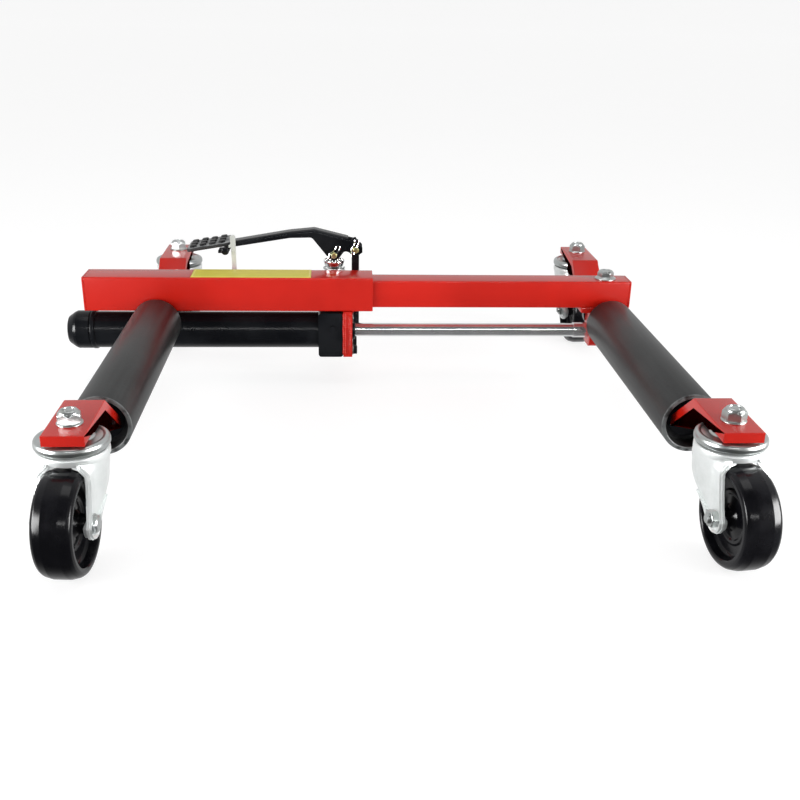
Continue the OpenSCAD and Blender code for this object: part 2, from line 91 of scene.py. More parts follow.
def span(node):
    """Lowest and highest corner of a node in workshop millimetres."""
    return (low(node) - ORIGIN) / MM, (high(node) - ORIGIN) / MM


def centre(node):
    """Middle of a node's box in workshop millimetres."""
    lo, hi = span(node)
    return (lo + hi) / 2


# Sizes in millimetres that the frame doesn't give
TRAIL = 36.0  # a wheel's axle from its kingpin
WHEEL_R = 50.0
LEG_OUT = 23.6  # outer face of a fork leg from the wheel's middle
BAR_TIP, BAR_BEND, BAR_END = 30.0, 57.0, 113.0  # bracket, from its kingpin
BAR_THICK = 10.0
BAR_SLOPE = math.radians(36)
ROLLER_WALL = 4.5
RAM_R = 24.0
BLOCK_BOLTS = [(y, z) for y in (-17.0, 21.0) for z in (48.0, 92.0)]
SPRING_R, SPRING_WIRE, SPRING_TURNS = 15.0, 1.25, 5.0
LEVER_Y = (39.0, 61.0)
LEVER_THICK = 2.8
AXIS_GAP = 0.3  # radius left at the middle of a solid turned piece


# ---------------------------------------------------------------- outlines

def corners(points, radii, steps=5):
    """Rounds the corners of a closed outline: each corner becomes an arc that is tangent to
    its two sides, of the radius given (one number, or one for each corner)."""
    p = np.asarray(points, float)
    radii = np.broadcast_to(np.asarray(radii, float), len(p))
    before, after = np.roll(p, 1, 0) - p, np.roll(p, -1, 0) - p
    la, lb = np.linalg.norm(before, axis=1), np.linalg.norm(after, axis=1)
    a, b = before / la[:, None], after / lb[:, None]
    half = np.arccos(np.clip((a * b).sum(1), -1, 1)) / 2
    reach = np.minimum(radii / np.tan(half), 0.49 * np.minimum(la, lb))
    t = np.linspace(0, 1, steps)[None, :, None]
    start, end = (p + a * reach[:, None])[:, None], (p + b * reach[:, None])[:, None]
    # A rational curve through the tangent points with the corner as its pole is a true arc
    w = np.sin(half)[:, None, None]
    top = (1 - t) ** 2 * start + 2 * t * (1 - t) * w * p[:, None] + t**2 * end
    arc = top / ((1 - t) ** 2 + 2 * t * (1 - t) * w + t**2)
    flat = arc.reshape(-1, 2)
    keep = np.linalg.norm(flat - np.roll(flat, 1, 0), axis=1) > 1e-4
    return flat[keep]


def open_corners(points, radii, steps=5):
    """Rounds the inner corners of an open line, whose two ends stay."""
    p = np.asarray(points, float)
    r = np.broadcast_to(np.asarray(radii, float), len(p)).copy()
    r[0] = r[-1] = 0
    loop = corners(p, r, steps)
    first = np.argmin(np.linalg.norm(loop - p[0], axis=1))
    return np.roll(loop, -first, 0)


def box_outline(x0, x1, y0, y1, r, steps=6):
    """Rectangle with rounded corners."""
    return corners([[x0, y0], [x1, y0], [x1, y1], [x0, y1]], r, steps)


def disc(r, steps):
    """Circle as a closed outline."""
    t = np.linspace(0, 2 * np.pi, steps, endpoint=False)
    return np.stack([r * np.cos(t), r * np.sin(t)], 1)


def inset(outline, d):
    """Moves a closed outline inwards by d, along the mean normal of its two sides."""
    side = np.roll(outline, -1, 0) - outline
    side /= np.linalg.norm(side, axis=1)[:, None]
    n1 = np.stack([-side[:, 1], side[:, 0]], 1)
    n0 = np.roll(n1, 1, 0)
    after = np.roll(outline, -1, 0)
    area = (outline[:, 0] * after[:, 1] - outline[:, 1] * after[:, 0]).sum()
    n = (n0 + n1) / np.maximum(1 + (n0 * n1).sum(1), 0.3)[:, None]
    return outline + n * d * (1 if area > 0 else -1)


# ---------------------------------------------------------------- shells
# A shell is (points, quads, end faces), in workshop millimetres.

def skin(grid, round_u=False, round_v=False, ends=False):
    """Grid of points, rows by columns, as quads; ends closes the first and last row."""
    n, m = grid.shape[:2]
    i, j = np.meshgrid(
        np.arange(n if round_u else n - 1), np.arange(m if round_v else m - 1), indexing="ij"
    )
    i1, j1 = (i + 1) % n, (j + 1) % m
    quads = np.stack([i * m + j, i1 * m + j, i1 * m + j1, i * m + j1], -1).reshape(-1, 4)
    caps = [np.arange(m)[::-1], np.arange((n - 1) * m, n * m)] if ends else []
    return grid.reshape(-1, 3), quads, caps


def axes(axis):
    """The two directions square to an axis given as x, y or z."""
    order = {"x": (0, 1, 2), "y": (1, 2, 0), "z": (2, 0, 1)}[axis]
    return [np.eye(3)[k] for k in order]


def turned(outline, at, axis, steps=96, closed=False, corner=None):
    """Surface of revolution: outline rows are [radius, distance along the axis from at].
    A corner function of the angle limits the radius, which cuts flats such as a hexagon's."""
    a, b, c = axes(axis)
    t = np.linspace(0, 2 * np.pi, steps, endpoint=False)
    r = np.repeat(np.asarray(outline, float)[:, :1], steps, 1)
    if corner is not None:
        r = np.minimum(r, corner(t)[None, :])
    h = np.asarray(outline, float)[:, 1]
    grid = (
        np.asarray(at, float)
        + h[:, None, None] * a
        + r[..., None] * (np.cos(t)[None, :, None] * b + np.sin(t)[None, :, None] * c)
    )
    return skin(grid, round_u=closed, round_v=True, ends=not closed)


def shaft(r, start, stop, at, axis, steps=48):
    """Solid cylinder between two distances along an axis."""
    line = [[AXIS_GAP, start], [r, start], [r, stop], [AXIS_GAP, stop]]
    return turned(line, at, axis, steps)


def pipe(bore, r, start, stop, rounds, fine, at, axis, steps):
    """Hollow cylinder whose four edges are rounded."""
    line = corners([[bore, start], [r, start], [r, stop], [bore, stop]], rounds, fine)
    return turned(line, at, axis, steps, closed=True)


def boss(points, radii, at, axis, steps=96, fine=5):
    """Solid turned piece: an open line whose corners are rounded."""
    return turned(open_corners(points, radii, fine), at, axis, steps)


def hexagon(across, turn=0.0):
    """Distance from the middle to the side of a hexagon, by angle."""
    def edge(t):
        return across / 2 / np.cos((t + turn) % (np.pi / 3) - np.pi / 6)
    return edge


def nut(across, height, at, axis, bevel=(1.0, 1.0), turn=0.0, bore=0.0):
    """Hexagon whose corners are cut back by a cone at its ends."""
    full = across / 2 / math.cos(math.pi / 6)
    rise = (full - across / 2 * 0.97) * 0.58
    foot = [[across / 2 * 0.97, 0], [full, rise * bevel[0]]] if bevel[0] else [[full, 0]]
    head = [[full, height - rise * bevel[1]], [across / 2 * 0.97, height]]
    if not bevel[1]:
        head = [[full, height]]
    rows = [[0.3, 0]] + foot + head + [[0.3, height]]
    if bore:
        rows = [[bore, 0]] + foot + head + [[bore, height]]
    return turned(dense(rows, 5), at, axis, 72, closed=bool(bore), corner=hexagon(across, turn))


def dense(rows, steps):
    """Adds even points between the rows of an open line."""
    p = np.asarray(rows, float)
    t = np.linspace(0, len(p) - 1, (len(p) - 1) * steps + 1)
    return np.stack([np.interp(t, np.arange(len(p)), p[:, k]) for k in range(p.shape[1])], 1)


def plate(outline, w0, w1, edge, lift, arc=4):
    """Closed outline with thickness from w0 to w1 and both rims rounded to the edge radius;
    lift turns (u, v, w) into x, y, z."""
    a = np.linspace(0, np.pi / 2, arc)
    d = np.concatenate([edge * (1 - np.sin(a)), edge * (1 - np.cos(a))])
    w = np.concatenate([w0 + edge * (1 - np.cos(a)), w1 - edge * (1 - np.sin(a))])
    rings = np.stack([inset(outline, k) for k in d])
    grid = lift(rings[..., 0], rings[..., 1], np.repeat(w[:, None], rings.shape[1], 1))
    return skin(np.stack(grid, -1), round_v=True, ends=True)


def along_x(u, v, w):
    """Outline in y and z, thickness along x."""
    return w, u, v


def along_y(u, v, w):
    """Outline in x and z, thickness along y."""
    return u, w, v


def along_z(u, v, w):
    """Outline in x and y, thickness along z."""
    return u, v, w


def swept(section, path, up, scale=None, closed=False):
    """Section [side, rise] carried along a path: at each point it stands square to the path's
    direction, with its rise as near to up as that allows; scale sizes it point by point."""
    path = np.asarray(path, float)
    if closed:
        way = np.roll(path, -1, 0) - np.roll(path, 1, 0)
    else:
        way = np.gradient(path, axis=0)
    way /= np.linalg.norm(way, axis=1)[:, None]
    side = np.cross(way, np.asarray(up, float))
    side /= np.linalg.norm(side, axis=1)[:, None]
    rise = np.cross(side, way)
    k = np.ones(len(path)) if scale is None else scale
    s = section[None] * k[:, None, None]
    grid = path[:, None] + s[..., :1] * side[:, None] + s[..., 1:] * rise[:, None]
    return skin(grid, round_u=closed, round_v=True, ends=not closed)


def sheet(grid, thick):
    """Sheet metal: the grid is the outer face and the inner one lies thick behind it, along the
    normal that the two directions of the grid give."""
    du, dv = np.gradient(grid, axis=0), np.gradient(grid, axis=1)
    n = np.cross(du, dv)
    n /= np.maximum(np.linalg.norm(n, axis=2), 1e-9)[..., None]
    both = np.concatenate([grid, (grid - n * thick)[:, ::-1]], 1)
    return skin(both, round_v=True, ends=True)


def bead(path, r, up, seed):
    """Weld bead: a round section along a path that swells at each ripple of the weld."""
    path = np.asarray(path, float)
    step = np.linalg.norm(np.diff(path, axis=0), axis=1)
    s = np.concatenate([[0], np.cumsum(step)])
    fine = np.linspace(0, s[-1], max(12, int(s[-1] / 0.55)))
    p = np.stack([np.interp(fine, s, path[:, k]) for k in range(3)], 1)
    rng = np.random.default_rng(seed)
    slow = np.interp(fine, np.linspace(0, s[-1], 9), rng.uniform(-0.14, 0.14, 9))
    ends = np.clip(np.minimum(fine, s[-1] - fine) / (1.2 * r), 0.15, 1) ** 0.5
    ripple = 0.8 + 0.28 * np.abs(np.sin(fine * np.pi / 3.1)) + slow
    return swept(disc(r, 12), p, up, ripple * ends)


def ring_path(r, at, axis, start=0.0, stop=360.0, steps=90):
    """Points round part of a circle."""
    _, b, c = axes(axis)
    t = np.radians(np.linspace(start, stop, steps))[:, None]
    return np.asarray(at, float) + r * (np.cos(t) * b + np.sin(t) * c)


def threads(r, z0, z1, pitch):
    """Outline of a threaded end: saw teeth between the core and the full radius."""
    n = max(2, int((z1 - z0) / pitch))
    z = np.linspace(z0, z1 - 0.8, 2 * n + 1)
    k = np.where(np.arange(2 * n + 1) % 2, r, r - 0.45)
    return np.concatenate([np.stack([k, z], 1), [[r - 1.1, z1], [0.3, z1]]])


def moved(shell, place):
    """The same shell after a function of its points."""
    return place(shell[0]), shell[1], shell[2]


def spun(x, y, degrees):
    """Turns about the upright line through x, y, for shapes drawn about their own kingpin."""
    c, s = math.cos(math.radians(degrees)), math.sin(math.radians(degrees))

    def place(p):
        return np.stack([x + c * p[:, 0] - s * p[:, 1], y + s * p[:, 0] + c * p[:, 1], p[:, 2]], 1)

    return place


# ---------------------------------------------------------------- pieces

FINISH = {}  # materials by name, filled by prepare_finishes


def piece(name, shells, body, finish, stands_for=(), sharp=32.0):
    """Joins shells into one mesh, places it in the frame and gives it its body and its finish."""
    points, loops, starts, totals, base = [], [], [], [], 0
    for pts, quads, caps in shells:
        points.append(pts * MM + ORIGIN)
        loops.append((quads + base).ravel())
        totals.append(np.full(len(quads), 4))
        for cap in caps:
            loops.append(cap + base)
            totals.append(np.array([len(cap)]))
        base += len(pts)
    points, loops, totals = (np.concatenate(k) for k in (points, loops, totals))
    starts = np.concatenate([[0], np.cumsum(totals)[:-1]])
    mesh = bpy.data.meshes.new(name)
    mesh.vertices.add(len(points))
    mesh.vertices.foreach_set("co", points.astype(np.float32).ravel())
    mesh.loops.add(len(loops))
    mesh.loops.foreach_set("vertex_index", loops.astype(np.int32))
    mesh.polygons.add(len(totals))
    mesh.polygons.foreach_set("loop_start", starts.astype(np.int32))
    mesh.update(calc_edges=True)
    mesh.validate()
    work = bmesh.new()
    work.from_mesh(mesh)
    bmesh.ops.recalc_face_normals(work, faces=work.faces)
    work.to_mesh(mesh)
    work.free()
    mesh.shade_smooth()
    mesh.set_sharp_from_angle(angle=math.radians(sharp))
    made = bpy.data.objects.new(name, mesh)
    bpy.context.scene.collection.objects.link(made)
    mesh.materials.append(FINISH[finish])
    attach(made, body)
    if stands_for:
        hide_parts(*stands_for)
    return made


def repaint(node, finish):
    """Gives a frame node its finish."""
    mesh = NODES[node].data
    mesh.materials.clear()
    mesh.materials.append(FINISH[finish])


# ---------------------------------------------------------------- finishes

class Value:
    """A number socket that can be used in sums: each operator adds a Math node."""

    def __init__(self, finish, socket):
        self.finish, self.socket = finish, socket

    def _sum(self, operation, *terms):
        made = self.finish.node("ShaderNodeMath", {"operation": operation}, terms)
        return Value(self.finish, made.outputs[0])

    def __add__(self, other):
        return self._sum("ADD", self, other)

    __radd__ = __add__

    def __sub__(self, other):
        return self._sum("SUBTRACT", self, other)

    def __rsub__(self, other):
        return self._sum("SUBTRACT", other, self)

    def __mul__(self, other):
        return self._sum("MULTIPLY", self, other)

    __rmul__ = __mul__

    def under(self, other):
        """The smaller of the two."""
        return self._sum("MINIMUM", self, other)

    def size(self):
        """The value without its sign."""
        return self._sum("ABSOLUTE", self)

    def step(self, start, end):
        """0 below start, 1 above end, and smooth between them."""
        made = self.finish.node(
            "ShaderNodeMapRange",
            {"interpolation_type": "SMOOTHSTEP"},
            {"Value": self, "From Min": start, "From Max": end},
        )
        return Value(self.finish, made.outputs[0])


class Finish:
    """A node material: one Principled shader and the patterns that feed it."""

    def __init__(self, name, **even):
        self.material = bpy.data.materials.new(name)
        self.material.use_nodes = True
        self.tree = self.material.node_tree
        self.tree.nodes.clear()
        out = self.tree.nodes.new("ShaderNodeOutputMaterial")
        self.shader = self.tree.nodes.new("ShaderNodeBsdfPrincipled")
        self.tree.links.new(self.shader.outputs[0], out.inputs["Surface"])
        for key, value in even.items():
            self.shader.inputs[key.replace("_", " ")].default_value = value
        place = self.node("ShaderNodeTexCoord", {}, {})
        self.place = place.outputs["Object"]

    def node(self, kind, settings, sockets):
        """One node: its settings first, then values or links for its sockets."""
        made = self.tree.nodes.new(kind)
        for key, value in settings.items():
            setattr(made, key, value)
        pairs = sockets.items() if isinstance(sockets, dict) else enumerate(sockets)
        for key, value in pairs:
            self.feed(made.inputs[key], value)
        return made

    def feed(self, socket, value):
        """Links a pattern to a socket, or sets a plain value on it."""
        if isinstance(value, Value):
            value = value.socket
        if isinstance(value, bpy.types.NodeSocket):
            self.tree.links.new(value, socket)
        else:
            socket.default_value = value

    def stretched(self, scale):
        """Object coordinates scaled along each axis."""
        made = self.node("ShaderNodeMapping", {}, {"Vector": self.place, "Scale": scale})
        return made.outputs[0]

    def noise(self, scale, detail=3.0, rough=0.5, across=None):
        """Fractal noise over the object, or over the coordinates given."""
        made = self.node(
            "ShaderNodeTexNoise",
            {"noise_dimensions": "3D"},
            {
                "Vector": across or self.place, "Scale": scale, "Detail": detail,
                "Roughness": rough,
            },
        )
        return Value(self, made.outputs["Fac"])

    def axis(self, k):
        """One of the object coordinates, in metres."""
        made = self.node("ShaderNodeSeparateXYZ", {}, {"Vector": self.place})
        return Value(self, made.outputs[k])

    def facing(self, k):
        """One component of the surface normal."""
        normal = self.node("ShaderNodeNewGeometry", {}, {}).outputs["Normal"]
        made = self.node("ShaderNodeSeparateXYZ", {}, {"Vector": normal})
        return Value(self, made.outputs[k])

    def blend(self, mask, a, b):
        """Colour a where the mask is 0 and colour b where it is 1."""
        made = self.node("ShaderNodeMix", {"data_type": "RGBA"}, {})
        self.feed(made.inputs[0], mask)
        self.feed(made.inputs[6], a if isinstance(a, bpy.types.NodeSocket) else (*a, 1.0))
        self.feed(made.inputs[7], b if isinstance(b, bpy.types.NodeSocket) else (*b, 1.0))
        return made.outputs[2]

    def bump(self, height, distance):
        """Relief: the height pattern times a distance in metres."""
        made = self.node("ShaderNodeBump", {}, {"Height": height, "Distance": distance})
        self.set(Normal=made.outputs[0])

    def set(self, **sockets):
        """Feeds the shader's own sockets, with _ for the spaces in their names."""
        for key, value in sockets.items():
            self.feed(self.shader.inputs[key.replace("_", " ")], value)


def red_enamel(colour):
    """Gloss red enamel over steel: slight orange peel, clouding and a few dull scuffs."""
    f = Finish("red_enamel", IOR=1.45, Specular_IOR_Level=0.4, Coat_Weight=0.12,
               Coat_Roughness=0.05)
    cloud = f.noise(9, 3)
    scuff = f.noise(70, 5, 0.65).step(0.7, 0.82)
    deep = [c * 0.82 for c in colour]
    base = f.blend(cloud.step(0.35, 0.7), deep, colour)
    f.set(Base_Color=f.blend(scuff * 0.12, base, [c * 0.7 for c in colour]))
    f.set(Roughness=0.22 + cloud * 0.08 + scuff * 0.06)
    f.bump(f.noise(260, 2) + f.noise(1200, 1) * 0.25, 0.00008)
    return f.material


def black_enamel():
    """Gloss black enamel on castings and plate."""
    f = Finish("black_enamel", IOR=1.4, Specular_IOR_Level=0.3)
    cloud, grain = f.noise(14, 3), f.noise(300, 3)
    f.set(Base_Color=f.blend(cloud.step(0.4, 0.7), (0.004, 0.0045, 0.006), (0.011, 0.012, 0.014)))
    f.set(Roughness=0.16 + cloud * 0.08 + grain * 0.04)
    f.bump(grain + f.noise(60, 2) * 0.6, 0.0001)
    return f.material


def roller_satin(mouth_y):
    """Satin black tube: streaks along its length, and paint worn thin round its mouth."""
    f = Finish("roller_satin", IOR=1.45, Specular_IOR_Level=0.5)
    streak = f.noise(1.0, 4, 0.6, f.stretched((160, 4, 160)))
    fleck = f.noise(380, 3, 0.6)
    patch = f.noise(12, 3)
    worn = 1 - f.axis(1).step(mouth_y + 0.0004, mouth_y + 0.0022)
    worn = worn * f.noise(90, 3).step(0.3, 0.55)
    tone = (streak * 0.6 + fleck * 0.2 + patch * 0.3).step(0.4, 0.75)
    base = f.blend(tone, (0.005, 0.0055, 0.006), (0.024, 0.026, 0.026))
    f.set(Base_Color=f.blend(worn * 0.7, base, (0.16, 0.17, 0.17)))
    f.set(Roughness=0.3 + streak * 0.22 - worn * 0.05)
    f.bump(streak * 0.7 + fleck * 0.5, 0.00012)
    return f.material


def zinc_plate(name="zinc_plate", tone=(0.52, 0.545, 0.545), warm=(0.45, 0.47, 0.455), rough=0.2,
               shine=1.0):
    """Bright zinc plating: a soft grey metal with cloudy patches and fine pits."""
    f = Finish(name, Metallic=shine)
    cloud, fine = f.noise(55, 4, 0.6), f.noise(420, 3)
    f.set(Base_Color=f.blend(cloud.step(0.35, 0.7), tone, warm))
    f.set(Roughness=rough + cloud * 0.16 + fine * 0.06)
    f.bump(fine + cloud * 0.5, 0.00005)
    return f.material


def chrome_plate(name="chrome_plate", shine=1.0):
    """Hard chrome on ground steel, with faint marks round the rod."""
    f = Finish(name, Metallic=shine)
    rings = f.noise(1.0, 3, 0.6, f.stretched((900, 30, 30)))
    f.set(Base_Color=f.blend(f.noise(20, 2).step(0.3, 0.7), (0.8, 0.81, 0.82), (0.9, 0.9, 0.9)))
    f.set(Roughness=0.05 + rings * 0.06)
    f.bump(rings, 0.000015)
    return f.material


def gold_zinc():
    """Yellow-passivated zinc on the pins."""
    f = Finish("gold_zinc", Metallic=1.0)
    cloud = f.noise(140, 3)
    f.set(Base_Color=f.blend(cloud.step(0.35, 0.7), (0.78, 0.66, 0.24), (0.7, 0.72, 0.42)))
    f.set(Roughness=0.22 + cloud * 0.14)
    f.bump(f.noise(600, 2), 0.00004)
    return f.material


def wheel_plastic():
    """Hard black wheel moulding, polished, with faint flow marks and scuffs."""
    f = Finish("wheel_plastic", IOR=1.45, Specular_IOR_Level=0.24)
    flow, scuff = f.noise(24, 4, 0.55), f.noise(160, 5, 0.65).step(0.6, 0.76)
    f.set(Base_Color=f.blend(flow.step(0.4, 0.75), (0.003, 0.003, 0.004), (0.01, 0.01, 0.012)))
    f.set(Roughness=0.13 + flow * 0.1 + scuff * 0.12)
    f.bump(flow + f.noise(350, 2) * 0.25, 0.00009)
    return f.material


def vinyl_label(node):
    """Blank yellow label with a thin paler frame line inside its edge and faint creases."""
    f = Finish("vinyl_label", IOR=1.45)
    lo, hi = low(node), high(node)
    mid, half = (lo + hi) / 2, (hi - lo) / 2
    gap_x = half[0] - (f.axis(0) - mid[0]).size()
    gap_y = half[1] - (f.axis(1) - mid[1]).size()
    gap = gap_x.under(gap_y)
    line = gap.step(0.0012, 0.0016) - gap.step(0.0024, 0.0028)
    crease = f.noise(1.0, 4, 0.6, f.stretched((60, 140, 1)))
    base = f.blend(crease.step(0.4, 0.7), (0.62, 0.54, 0.03), (0.68, 0.6, 0.06))
    f.set(Base_Color=f.blend(line * 0.7, base, (0.85, 0.76, 0.3)))
    f.set(Roughness=0.32 + crease * 0.15)
    f.bump(crease, 0.0001)
    return f.material


def worn_plate():
    """Pedal plate: black paint on the sides, rubbed to dusty grey metal on its upper face."""
    f = Finish("worn_plate", Specular_IOR_Level=0.4)
    rub = f.facing(2).step(0.75, 0.97)
    patch = f.noise(90, 5, 0.65)
    rub = rub * patch.step(0.25, 0.5)
    base = f.blend(patch.step(0.4, 0.65), (0.2, 0.205, 0.21), (0.36, 0.37, 0.37))
    f.set(Base_Color=f.blend(rub, (0.012, 0.012, 0.013), base))
    f.set(Roughness=0.42 + patch * 0.25, Metallic=rub * 0.35)
    f.bump(patch + f.noise(500, 3) * 0.4, 0.00015)
    return f.material


def black_rubber(name="grip_black", rough=0.34):
    """Satin black paint on small parts."""
    f = Finish(name, Specular_IOR_Level=0.22)
    grain = f.noise(420, 3)
    cloud = f.noise(60, 3).step(0.4, 0.7)
    f.set(Base_Color=f.blend(cloud, (0.004, 0.004, 0.005), (0.012, 0.012, 0.013)))
    f.set(Roughness=rough + grain * 0.15)
    f.bump(grain, 0.0001)
    return f.material


def dark_steel():
    """Oiled bare steel inside the rollers and rings."""
    f = Finish("dark_steel", Metallic=0.6)
    cloud = f.noise(80, 4, 0.6)
    f.set(Base_Color=f.blend(cloud.step(0.35, 0.7), (0.02, 0.021, 0.022), (0.06, 0.062, 0.064)))
    f.set(Roughness=0.3 + cloud * 0.2)
    f.bump(f.noise(500, 3), 0.00006)
    return f.material


def prepare_finishes(look):
    """Makes every finish once; the operators share them."""
    FINISH.update(
        red=red_enamel(tuple(look.red)),
        black=black_enamel(),
        roller=roller_satin(low("left_roller")[1]),
        zinc=zinc_plate(),
        fork=zinc_plate("fork_zinc", (0.8, 0.825, 0.82), (0.72, 0.75, 0.74), 0.3, 0.7),
        chrome=chrome_plate(),
        rod=chrome_plate("rod_chrome", 0.84),
        gold=gold_zinc(),
        wheel=wheel_plastic(),
        label=vinyl_label("label_plate"),
        pad=worn_plate(),
        grip=black_rubber(),
        knob=black_rubber("knob_black", 0.4),
        steel=dark_steel(),
    )


# ---------------------------------------------------------------- settings

class DollyLook(bpy.types.PropertyGroup):
    """Colours of the dolly."""

    red: FloatVectorProperty(
        name="Frame red", description="Colour of the enamel on the beam and the brackets",
        subtype="COLOR", size=3, min=0.0, max=1.0, default=(0.5, 0.01, 0.004),
    )
    floor: FloatVectorProperty(
        name="Floor", description="Colour of the studio floor",
        subtype="COLOR", size=3, min=0.0, max=1.0, default=(0.3, 0.3, 0.3),
    )


class DollySizes(bpy.types.PropertyGroup):
    """Sizes that the frame doesn't give."""

    edge: FloatProperty(
        name="Plate edge", description="Rounding of the edges of cut plate and bar, mm",
        default=0.8, min=0.1, max=2.0,
    )
    weld: FloatProperty(
        name="Weld bead", description="Radius of the weld beads, mm",
        default=2.2, min=0.5, max=4.0,
    )
    yaw_front_left: FloatProperty(
        name="Front left swivel", description="Resting turn of the caster, degrees", default=-4.0
    )
    yaw_front_right: FloatProperty(
        name="Front right swivel", description="Resting turn of the caster, degrees", default=7.0
    )
    yaw_rear_left: FloatProperty(
        name="Rear left swivel", description="Resting turn of the caster, degrees", default=3.0
    )
    yaw_rear_right: FloatProperty(
        name="Rear right swivel", description="Resting turn of the caster, degrees", default=2.0
    )


SIDES = ("left", "right")
ENDS = ("front", "rear")
FRAME_OF = {"left": "fixed_frame", "right": "sliding_frame"}


class DollyOperator:
    """What the operators share: undo, and the settings."""

    bl_options = {"REGISTER", "UNDO"}

    def sizes(self, context):
        return context.scene.dolly_sizes


def tube_shell(x0, x1, half, wall, r, z):
    """Square tube: the outer outline runs from end to end, turns in over a rounded rim and
    comes back as the bore."""
    rim = 0.5
    a = np.linspace(0, np.pi / 2, 4)
    outer = box_outline(-half, half, z - half, z + half, r)
    inner = inset(outer, wall)
    rows = [(rim * (1 - np.sin(k)), x0 + rim * (1 - np.cos(k))) for k in a]
    rows += [(rim * (1 - np.cos(k)), x1 - rim * (1 - np.sin(k))) for k in a]
    grid = [np.concatenate([np.full((len(outer), 1), x), inset(outer, d)], 1) for d, x in rows]
    grid += [np.concatenate([np.full((len(outer), 1), x), inner], 1) for x in (x1, x0)]
    return skin(np.stack(grid), round_u=True, round_v=True)


class DOLLY_OT_beam(DollyOperator, bpy.types.Operator):
    """Square telescoping beam, its end caps, the saddle under it and the arm bolt"""

    bl_idname = "dolly.beam"
    bl_label = "Beam"

    def execute(self, context):
        edge = self.sizes(context).edge
        for name, half, wall, r, body in (
            ("outer_beam", 22.5, 4.0, 2.6, "fixed_frame"),
            ("inner_beam", 18.0, 3.0, 2.2, "sliding_frame"),
        ):
            lo, hi = span(name)
            z = centre(name)[2]
            tube = tube_shell(lo[0], hi[0], half, wall, r, z)
            piece(f"{name}_tube", [tube], body, "red", (name,))
            cap_lo, cap_hi = span(f"{name}_cap")
            cap = plate(
                box_outline(-half, half, z - half, z + half, r), cap_lo[0], cap_hi[0], 0.9, along_x
            )
            piece(f"{name}_end", [cap], body, "red", (f"{name}_cap",))
        lo, hi = span("beam_saddle")
        lug_x0, lug_x1 = 277.0, 289.0
        deck = plate(box_outline(lo[0], hi[0], lo[1], hi[1], 3), hi[2] - 7, hi[2], edge, along_z)
        lug = plate(
            corners([[lo[1], lo[2]], [hi[1], lo[2]], [hi[1], hi[2] - 6.5], [lo[1], hi[2] - 6.5]],
                    [9, 9, 0.5, 0.5], 8),
            lug_x0, lug_x1, edge, along_x,
        )
        fillets = [
            bead([[x, -16, hi[2] - 7.6], [x, 16, hi[2] - 7.6]], 1.9, (0, 0, 1), seed)
            for seed, x in ((3, lug_x0 - 0.5), (4, lug_x1 + 0.5))
        ]
        fillets += [
            bead([[lo[0] + 2, y, hi[2] - 0.4], [hi[0] - 2, y, hi[2] - 0.4]], 1.5, (0, 0, 1), seed)
            for seed, y in ((5, -18.4), (6, 18.4))
        ]
        piece("saddle", [deck, lug] + fillets, "sliding_frame", "red", ("beam_saddle",))
        lo, x = span("arm_bolt")[0], centre("arm_bolt")[0]
        top = span("inner_beam")[1][2]
        flange = boss(
            [[0.3, 0], [14, 0], [14, 1.2], [10.6, 3.4], [10.2, 4], [0.3, 4]],
            [0, 0.5, 0.5, 0.8, 0, 0], (x, 0, top), "z",
        )
        head = turned(
            dense(open_corners(
                [[11.0, 2], [11.0, 8.2], [8.6, 11.2], [5.4, 11.5], [4.6, 10.7], [0.3, 10.6]],
                [0, 2.5, 1.5, 0.4, 0.4, 0], 6), 2),
            (x, 0, top), "z", 72, corner=hexagon(19, 0.2),
        )
        reach = top - lo[2] + 3
        shank = shaft(6, 0, reach, (x, 0, lo[2]), "z")
        piece("arm_flange_bolt", [flange, head, shank], "sliding_frame", "zinc", ("arm_bolt",))
        repaint("label_plate", "label")
        return {"FINISHED"}


class DOLLY_OT_rollers(DollyOperator, bpy.types.Operator):
    """Two roller tubes on fixed axles, with their bushes and the welds at the beam"""

    bl_idname = "dolly.rollers"
    bl_label = "Rollers and axles"

    def execute(self, context):
        weld = self.sizes(context).weld
        for side in SIDES:
            lo, hi = span(f"{side}_roller")
            x, z, r = (lo[0] + hi[0]) / 2, (lo[2] + hi[2]) / 2, (hi[2] - lo[2]) / 2
            tube = pipe(r - ROLLER_WALL, r, lo[1], hi[1], 0.9, 4, (x, 0, z), "y", 160)
            piece(f"{side}_roller_sleeve", [tube], f"{side}_roller_tube", "roller",
                  (f"{side}_roller",))
            repaint(f"{side}_roller_bushes", "steel")
            for node in (f"{side}_axle", f"{side}_rear_stub"):
                repaint(node, "black")
            face = span("outer_beam" if side == "left" else "inner_beam")[0][1] - 1.1
            root = bead(ring_path(25.0, (x, face, z), "y", -50.0, 50.0), weld, (0, 1, 0), 11)
            piece(f"{side}_root_weld", [root], FRAME_OF[side], "black")
        return {"FINISHED"}


def bracket_line(bottom, top):
    """Side outline of a bracket, from its kingpin towards the beam: level, then sloping down,
    as thick square to the slope as it is on the level."""
    slope = math.tan(BAR_SLOPE)
    upright = (top - bottom) / math.cos(BAR_SLOPE)
    back = (upright - (top - bottom)) / slope
    drop = (BAR_END - BAR_BEND) * slope
    return corners(
        [[-BAR_TIP, bottom], [BAR_BEND - back, bottom], [BAR_END, top - drop - upright],
         [BAR_END, top - drop], [BAR_BEND, top], [-BAR_TIP, top]],
        [0.3, 4, 0.3, 0.3, 5, 0.3], 8,
    )


